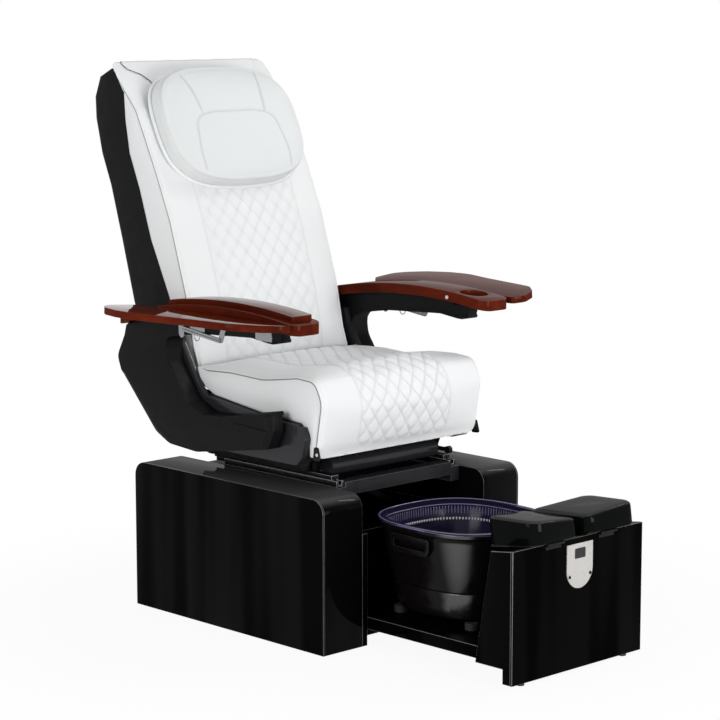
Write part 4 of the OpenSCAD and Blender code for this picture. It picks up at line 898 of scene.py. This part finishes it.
# %% One rounded form at every step along a line, by Geometry Nodes
def repeat_tree(name, segments, rings, along_line=False):
    """A tree that lays a stretched ball on each step of the lines, and may turn it along the line."""
    inputs = {"Lines": "Geometry", "Step": "Float", "Half Size": "Vector", "Finish": "Material"}
    tree, enter, leave = geometry_tree(name, inputs, "Repeats")
    curves = add_node(tree, "GeometryNodeMeshToCurve", {"Mesh": enter.outputs["Lines"]})
    steps = add_node(tree, "GeometryNodeResampleCurve", {"Curve": curves.outputs[0]})
    if "Mode" in steps.inputs:
        steps.inputs["Mode"].default_value = "Length"
    else:
        steps.mode = "LENGTH"
    link(tree, enter.outputs["Step"], steps.inputs["Length"])
    ball = add_node(tree, "GeometryNodeMeshUVSphere", {"Segments": segments, "Rings": rings, "Radius": 1.0})
    shaped = add_node(tree, "GeometryNodeTransform", {"Geometry": ball.outputs["Mesh"],
                                                      "Scale": enter.outputs["Half Size"]})
    laid = add_node(tree, "GeometryNodeInstanceOnPoints", {"Points": steps.outputs[0],
                                                           "Instance": shaped.outputs[0]})
    if along_line:
        tangent = tree.nodes.new("GeometryNodeInputTangent")
        turn = add_node(tree, "FunctionNodeAlignRotationToVector", {"Vector": tangent.outputs[0]}, axis="Z")
        link(tree, turn.outputs[0], laid.inputs["Rotation"])
    real = add_node(tree, "GeometryNodeRealizeInstances", {"Geometry": laid.outputs[0]})
    done = add_node(tree, "GeometryNodeSetMaterial", {"Geometry": real.outputs[0],
                                                      "Material": enter.outputs["Finish"]})
    link(tree, done.outputs[0], leave.inputs[0])
    return tree


STITCHES = repeat_tree("stitches_along_seams", 6, 4, along_line=True)
REPEATS = repeat_tree("repeat_along_line", 8, 6)


def repeated(name, tree, paths, step, half_size, material, closed=False):
    """One mesh with the tree's form at every step along each of the paths."""
    verts, edges = [], []
    for path in paths:
        start = len(verts)
        verts += [tuple(map(float, p)) for p in path]
        edges += [(k, k + 1) for k in range(start, len(verts) - 1)]
        if closed:
            edges.append((len(verts) - 1, start))
    mesh = bpy.data.meshes.new(name)
    mesh.from_pydata(verts, edges, [])
    obj = in_scene(name, mesh)
    modifier = modified(obj, "NODES", node_group=tree)
    values = {"Step": step, "Half Size": half_size, "Finish": material}
    for item in tree.interface.items_tree:
        if item.name in values:
            modifier[item.identifier] = values[item.name]
    baked(obj)
    obj.data.shade_smooth()
    print(name, "faces:", len(obj.data.polygons))
    return obj


def stitched(name, paths, step=0.0065, length=0.0042, radius=0.00055):
    """Short threads laid end to end along seams."""
    return repeated(name, STITCHES, paths, step, (radius, radius, length / 2), thread)


# %% Places on a cushion's face
def face_point(cushion, row, x, lift=0.0):
    """A point on a cushion's face at a row (may lie between two) and a distance from the middle."""
    grid, normal = cushion["face"], cushion["normal"]
    low = int(min(max(0, math.floor(row)), grid.shape[0] - 2))
    t = row - low

    def in_row(i):
        p, n = ([np.interp(x, grid[i, :, 0], part[i, :, c]) for c in range(3)] for part in (grid, normal))
        return np.array(p) + np.array(n) * lift

    return in_row(low) * (1 - t) + in_row(low + 1) * t


def edge_line(cushion, sign, first, last, inward=2, lift=-0.0008):
    """The line of a cushion's rounded edge, some columns in from the corner."""
    grid, normal = cushion["face"], cushion["normal"]
    column = -1 - inward if sign > 0 else inward
    side = np.array([sign * 1.0, 0, 0])
    return [grid[i, column] + normal[i, column] * lift + side * 0.0005 for i in range(first, last)]


def crease_paths(cushion):
    """The stitch lines of the diamonds, each cut off at the panel's border and ends."""
    first, last = cushion["quilt"]
    paths = []
    for sign in (1, -1):
        for k in range(-30, 60):
            path = []
            for row in range(first + 3, last - 2, 2):
                x = sign * (k - row * CELL_H / DIAMOND_H) * DIAMOND_W
                if abs(x) <= QUILT_HALF - 0.003:
                    path.append(face_point(cushion, row, x, 0.0004))
                elif path:
                    break
            if len(path) > 3:
                paths.append(path)
    return paths


# %% Sew the seat and the back
PIPING_R = 0.0031
PIPING_SHADE_R = {"seat": 0.0019, "back": 0.0011}
BORDER_OUT, BORDER_LIFT = 0.0035, 0.0002
sewn = []
for cushion, body in ((seat, "seat"), (back, "back")):
    tag = cushion["name"]
    first, last = cushion["quilt"]
    sewn.append((stitched(tag + "_quilt_stitches", crease_paths(cushion)), body, "leather_white"))
    for sign, label in SIDES:
        beside_quilt = sign * (QUILT_HALF + BORDER_OUT)
        border = [face_point(cushion, row, beside_quilt, BORDER_LIFT)
                  for row in range(first + 2, last - 1, 2)]
        sewn.append((stitched("%s_border_stitches_%s" % (tag, label), [border]), body, "leather_white"))
        start, stop = cushion["piped"]
        cord_line = edge_line(cushion, sign, start, stop)
        cord = tube("%s_piping_%s" % (tag, label), cord_line, PIPING_R, piping_leather, taper=6)
        # A grey tube beside each cord is a painted shadow along the piping.
        shadow_line = edge_line(cushion, sign, start + 2, stop - 2, 1, -0.0002)
        shadow = tube("%s_piping_seam_%s" % (tag, label), shadow_line, PIPING_SHADE_R[tag], piping_shade_tone, 8, taper=6)
        sewn += [(cord, body, "leather_white"), (shadow, body, "leather_white")]
for obj, body, slot in sewn:
    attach(obj, body)
print("sewn pieces:", len(sewn))
# %% [markdown]
# ## Head pillow
#
# The pillow is a box cushion: a gusset band stands on the back, and a crowned front panel is
# sewn to it. The front is cut in three, a rounded panel low in the middle with two seams that
# run up from its corners. A thick piped roll closes the pillow's base, and a flap of the same
# leather goes from its top over the back's upper edge, where it is held.

# %% Pillow frame: across, up the cushion, and out of it
PILLOW_W, PILLOW_H, PILLOW_T = 0.486, 0.354, 0.062
PILLOW_AT = Vector((0, 0.735 - SETBACK, 1.170))
PILLOW_LEAN = math.radians(26.6)
PILLOW_UP = Vector((0, math.sin(PILLOW_LEAN), math.cos(PILLOW_LEAN)))
PILLOW_OUT = Vector((0, -math.cos(PILLOW_LEAN), math.sin(PILLOW_LEAN)))
PILLOW_RISE, PILLOW_LIFT = 0.118, 0.009


def pillow_points(x, up, out):
    """Points of the pillow from arrays: across, up from its middle, and out from the cushion."""
    bend = np.maximum(0.0, up + PILLOW_RISE - 0.160) ** 2
    rise, lift = up + PILLOW_RISE, out + PILLOW_LIFT - bend
    yz = (PILLOW_AT[c] + PILLOW_UP[c] * rise + PILLOW_OUT[c] * lift for c in (1, 2))
    return np.stack([x, *yz], -1)


def superellipse(angle, a, b, power=3):
    c, s = np.cos(angle), np.sin(angle)
    return np.sign(c) * np.abs(c) ** (2 / power) * a, np.sign(s) * np.abs(s) ** (2 / power) * b


# %% Seams of the front panel, as lines across and up, in metres
def arc_path(points, radii):
    return round_corners(np.array(points, float) * MM, radii, 8)


D_SEAM = arc_path([[-152, -175], [-158, -90], [-140, 16], [-70, 28],
                   [70, 28], [140, 16], [158, -90], [152, -175]], [0, 150, 60, 200, 200, 60, 150, 0])
UP_SEAMS = [arc_path([[s * 112, 24], [s * 120, 80], [s * 138, 175]], [0, 100, 0]) for s in (-1, 1)]


def distance_to(path, x, up):
    """Distance of each point from a line of short pieces."""
    best = np.full(x.shape, 9.0)
    for a, b in zip(path[:-1], path[1:]):
        d = b - a
        t = np.clip(((x - a[0]) * d[0] + (up - a[1]) * d[1]) / (d @ d), 0, 1)
        best = np.minimum(best, np.hypot(x - a[0] - d[0] * t, up - a[1] - d[1] * t))
    return best


# %% Pillow block
PILLOW_RINGS = np.array([[0.30, 0.0], [0.7, 0.0], [0.95, 0.0], [0.985, 0.06], [0.992, 0.2], [0.99, 0.4],
                         [0.985, 0.56], [0.978, 0.68], [0.955, 0.77], [0.92, 0.84], [0.86, 0.90],
                         [0.76, 0.95], [0.6, 0.985], [0.4, 1.0], [0.2, 1.003], [0.02, 1.004]])


def pillow_block(around=480, rows=150):
    rings = spaced(PILLOW_RINGS * [PILLOW_W / 2, PILLOW_T], rows - 1)
    angle = np.arange(around) * 2 * math.pi / around
    x1, up1 = superellipse(angle, 1, PILLOW_H / PILLOW_W)
    x, up = rings[:, :1] * x1[None], rings[:, :1] * up1[None]
    out = np.broadcast_to(rings[:, 1:], x.shape).copy()
    points = pillow_points(x, up, out)
    keep = np.zeros((rows, around))
    keep[rings[:, 1] < 0.3 * PILLOW_T] = 1
    points = points + pumped("pillow", points, rows, around, keep, 2.0, 0.004, hold_end=False)
    along, across = np.gradient(points, axis=0), np.gradient(points, axis=1)
    across[:, 0], across[:, -1] = points[:, 1] - points[:, -1], points[:, 0] - points[:, -2]
    normal = unit(np.cross(across, along))
    front = smooth_step((out / PILLOW_T - 0.80) / 0.08)
    near = np.minimum.reduce([distance_to(path, x, up) for path in [D_SEAM] + UP_SEAMS])
    gusset = np.abs(out / PILLOW_T - 0.68) * PILLOW_T
    groove = np.exp(-((near / 0.0024) ** 2)) * front
    rim = np.exp(-((gusset / 0.0026) ** 2))
    puff = (1 - np.exp(-near / 0.018)) * front
    points = points + normal * (0.0016 * puff - 0.0022 * groove - 0.0018 * rim)[:, :, None]
    verts = np.concatenate([points.reshape(-1, 3), pillow_points(np.zeros(1), np.zeros(1), np.zeros(1)),
                            points[-1].mean(axis=0)[None]])
    faces, last = ring_quads(rows, around), (rows - 1) * around
    for k in range(around):
        faces.append((len(verts) - 2, (k + 1) % around, k))
        faces.append((len(verts) - 1, last + k, last + (k + 1) % around))
    obj = make_object("head_pillow_cover", verts, faces)
    # Painted shade along the pillow's seams and its gusset rim.
    set_crease_shade(obj, np.r_[np.maximum(groove, rim * 0.8).ravel(), 0, 0].astype(np.float32))
    return obj, points, x, up, rings


pillow_cover, pillow_grid, pillow_x, pillow_up, pillow_rings = pillow_block()
print("pillow faces:", len(pillow_cover.data.polygons))


# %% Places on the pillow's front
def on_front(px, pu, lift=0.0):
    """The point of the front panel nearest to a place across and up."""
    rows = pillow_rings[:, 1] > 0.8 * PILLOW_T
    d = np.hypot(pillow_x[rows] - px, pillow_up[rows] - pu)
    i = np.unravel_index(np.argmin(d), d.shape)
    return pillow_grid[rows][i] + np.array(PILLOW_OUT) * lift


# %% Piped roll round the base, and stitches beside the seams
ROLL_R, ROLL_OUT = 0.0052, 0.0035
STITCH_OFFSET = 0.0045
roll_angle = np.linspace(0, 2 * math.pi, 181)[:-1]
rx, ru = superellipse(roll_angle, PILLOW_W / 2 + 0.0005, PILLOW_H / 2 + 0.0005)
roll_line = pillow_points(rx, ru, np.full(rx.shape, ROLL_OUT))
pillow_roll = tube("pillow_piping", roll_line, ROLL_R, piping_leather, 12, closed=True)

seam_lines = []
stitch_rows = [(D_SEAM, -STITCH_OFFSET)]
stitch_rows += [(path, offset) for path in UP_SEAMS for offset in (STITCH_OFFSET, -STITCH_OFFSET)]
for path, offset in stitch_rows:
    line = [p for p in spaced(path + inward_2d(path) * offset, 60) if abs(p[1]) < 0.150]
    seam_lines.append([on_front(p[0], p[1], 0.0003) for p in line])
pillow_stitches = stitched("pillow_stitches", seam_lines, 0.0062, 0.004, 0.0005)


# %% Flap over the back's upper edge
FLAP_EDGE = np.array([[0.170, 0.118], [0.181, 0.163], [0.197, 0.187], [0.233, 0.207], [0.240, 0.225]])


def flap_sheet():
    """A strap of leather from behind the pillow up over the back's edge, lying on the back."""
    grid, normal = back["face"], back["normal"]
    middle, up = grid.shape[1] // 2, np.array(PILLOW_UP)
    rise = [float(np.dot(grid[i, middle] - np.array(PILLOW_AT), up)) - PILLOW_RISE
            for i in range(grid.shape[0])]
    chosen = [i for i in range(grid.shape[0]) if rise[i] > 0.115]
    verts, across = [], 48
    for i in chosen:
        half = float(np.interp(rise[i], FLAP_EDGE[:, 1], FLAP_EDGE[:, 0]))
        for k in range(across + 1):
            x = half * (2 * k / across - 1)
            fold = 0.0009 * math.sin(x * 70 + i * 0.15) * math.sin(math.pi * k / across)
            verts.append(face_point(back, i, x, 0.0026 + fold))
    n, m = len(chosen), across + 1
    faces = [(i * m + k, (i + 1) * m + k, (i + 1) * m + k + 1, i * m + k + 1)
             for i in range(n - 1) for k in range(across)]
    obj = make_object("pillow_flap", verts, faces, material=leather)
    modified(obj, "SOLIDIFY", thickness=0.0022, offset=-1)
    baked(obj)
    return obj, [verts[i * m] for i in range(n)]


pillow_flap, flap_edge = flap_sheet()
# A dark tube along the flap's edge is a painted shadow of the gap beneath it.
shadow_line = [p + np.array([-0.0004, 0, -0.0006]) for p in flap_edge]
flap_shadow = tube("pillow_flap_shadow_line", shadow_line, 0.0009, flap_gap_shade, 8)
pillow_pieces = (pillow_roll, pillow_stitches, pillow_flap, flap_shadow)
for obj in pillow_pieces:
    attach(obj, "back")
print("pillow pieces:", len(pillow_pieces))
# %% [markdown]
# ## Basin liner
#
# The lift-out liner is a thin translucent moulding. Its lip is rolled, short ribs stiffen the
# wall below it, and a row of beads runs under them. The ribs and the beads repeat at a fixed
# step round the basin, so the second of the two Geometry Nodes trees lays them.

# %% The liner's lip, ribs and beads
TUB_MIDDLE = -0.144 - SETBACK
LINER_STEP = 0.0085
LINER_HALF_W, LINER_HALF_D, LINER_POWER = 0.188, 0.205, 2.7


def wall_of(name):
    """A search tree over one CAD part's faces, in the shared frame."""
    part = nodes[name]
    points = [part.matrix_world @ v.co for v in part.data.vertices]
    return BVHTree.FromPolygons(points, [tuple(p.vertices) for p in part.data.polygons])


LINER_WALL = wall_of("tub_liner")


def tub_ring(inset, height, count=240):
    """A closed line round the liner's inner wall at a height, an inset away from it."""
    middle, ring = Vector((0, TUB_MIDDLE, height)), []
    for k in range(count):
        x, y = superellipse(np.array([k * 2 * math.pi / count]), LINER_HALF_W, LINER_HALF_D, LINER_POWER)
        way = Vector((float(x[0]), float(y[0]), 0)).normalized()
        ring.append(LINER_WALL.ray_cast(middle, way)[0] - way * inset)
    return np.array(ring)


# Lip, step and ribs carry the pale painted-highlight finish, and the beads a near-white painted glint.
liner_pieces = [tube("liner_lip_roll", tub_ring(-0.0135, 0.3272), 0.0034, liner_rim_lit, closed=True),
                tube("liner_step", tub_ring(0.0004, 0.3165), 0.0016, liner_rim_lit, 8, closed=True)]
for name, inset, height, half_size, material in (
        ("liner_ribs", 0.0004, 0.300, (0.0018, 0.0018, 0.014), liner_rim_lit),
        ("liner_beads", 0.0008, 0.280, (0.0026, 0.0026, 0.0038), liner_bead_glint)):
    ring = tub_ring(inset, height)
    liner_pieces.append(repeated(name, REPEATS, [ring], LINER_STEP, half_size, material, closed=True))
for piece in liner_pieces:
    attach(piece, "liner")
print("liner pieces:", len(liner_pieces))
# %% [markdown]
# ## Small fittings
#
# A dark window in the white plate on the footrest, and the corner brackets with their covered
# screws where the seat cushion meets its frame.

# %% Flat pieces with rounded corners
def slab(name, outline, radius, axis, low, high, material, bevel=0.0005):
    """A thin flat piece: a rounded outline, given in millimetres, between two places on an axis."""
    path = round_corners(np.array(outline, float) * MM, [radius] * len(outline), 5, closed=True)
    n, verts = len(path), []
    for at in (low, high):
        for p in path:
            verts.append((at, p[0], p[1]) if axis == "x" else (p[0], at, p[1]))
    faces = [tuple(range(n)), tuple(range(2 * n - 1, n - 1, -1))]
    faces += [(k, n + k, n + (k + 1) % n, (k + 1) % n) for k in range(n)]
    obj = make_object(name, verts, faces, False, material)
    faced_outward(obj)
    modified(obj, "BEVEL", width=bevel, segments=2, limit_method="ANGLE", angle_limit=math.radians(50))
    return baked(obj)


WINDOW = [[-19, 286], [19, 286], [19, 311], [-19, 311]]
window = slab("plate_window", WINDOW, 3, "y", -0.7634, -0.7622, window_dark)
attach(window, "base")


# %% Corner brackets of the seat cushion
def dome(name, middle, radius, rise, way, material):
    """A low round cap over a screw."""
    verts, around, rings = [], 24, 6
    side, up = Vector((0, 1, 0)), Vector((0, 0, 1))
    for i in range(rings):
        t = (i / rings) * math.pi / 2
        for k in range(around):
            a = 2 * math.pi * k / around
            verts.append(Vector(middle) + (side * math.cos(a) + up * math.sin(a)) * (radius * math.cos(t))
                         + Vector(way) * (rise * math.sin(t)))
    verts.append(Vector(middle) + Vector(way) * rise)
    verts.append(Vector(middle))
    faces, last = ring_quads(rings, around), (rings - 1) * around
    faces += [(last + k, last + (k + 1) % around, len(verts) - 2) for k in range(around)]
    faces += [((k + 1) % around, k, len(verts) - 1) for k in range(around)]
    obj = make_object(name, verts, faces, material=material)
    faced_outward(obj)
    return obj


BRACKET = [[-150, 478], [-122, 476], [-126, 512], [-140, 512]]
BRACKET_IN, BRACKET_OUT = 0.2895, 0.2935
for sign, label in SIDES:
    low, high = sorted((sign * BRACKET_IN, sign * BRACKET_OUT))
    plate = slab("corner_bracket_" + label, BRACKET, 5, "x", low, high, steel_black)
    middle = (sign * BRACKET_OUT, -0.137, 0.493)
    cap = dome("corner_cap_" + label, middle, 0.0046, 0.0026, (sign, 0, 0), cap_white)
    for obj, slot in ((plate, "steel_black"), (cap, "steel_bright")):
        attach(obj, "seat")
print("small fittings: window, brackets, caps")
# %% [markdown]
# ## Tie the pieces to the moving frame
#
# Each sewn piece rides on the body that carries it, and stands for its plain solid.

# %% Rides
for cover, body, solid in ((seat_cover, "seat", "seat_cushion"), (back_cover, "back", "back_cushion"),
                           (pillow_cover, "back", "head_pillow")):
    if not cover.data.materials:
        cover.data.materials.append(leather_pillow_shaded if cover is pillow_cover else leather)
    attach(cover, body)
    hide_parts(solid)
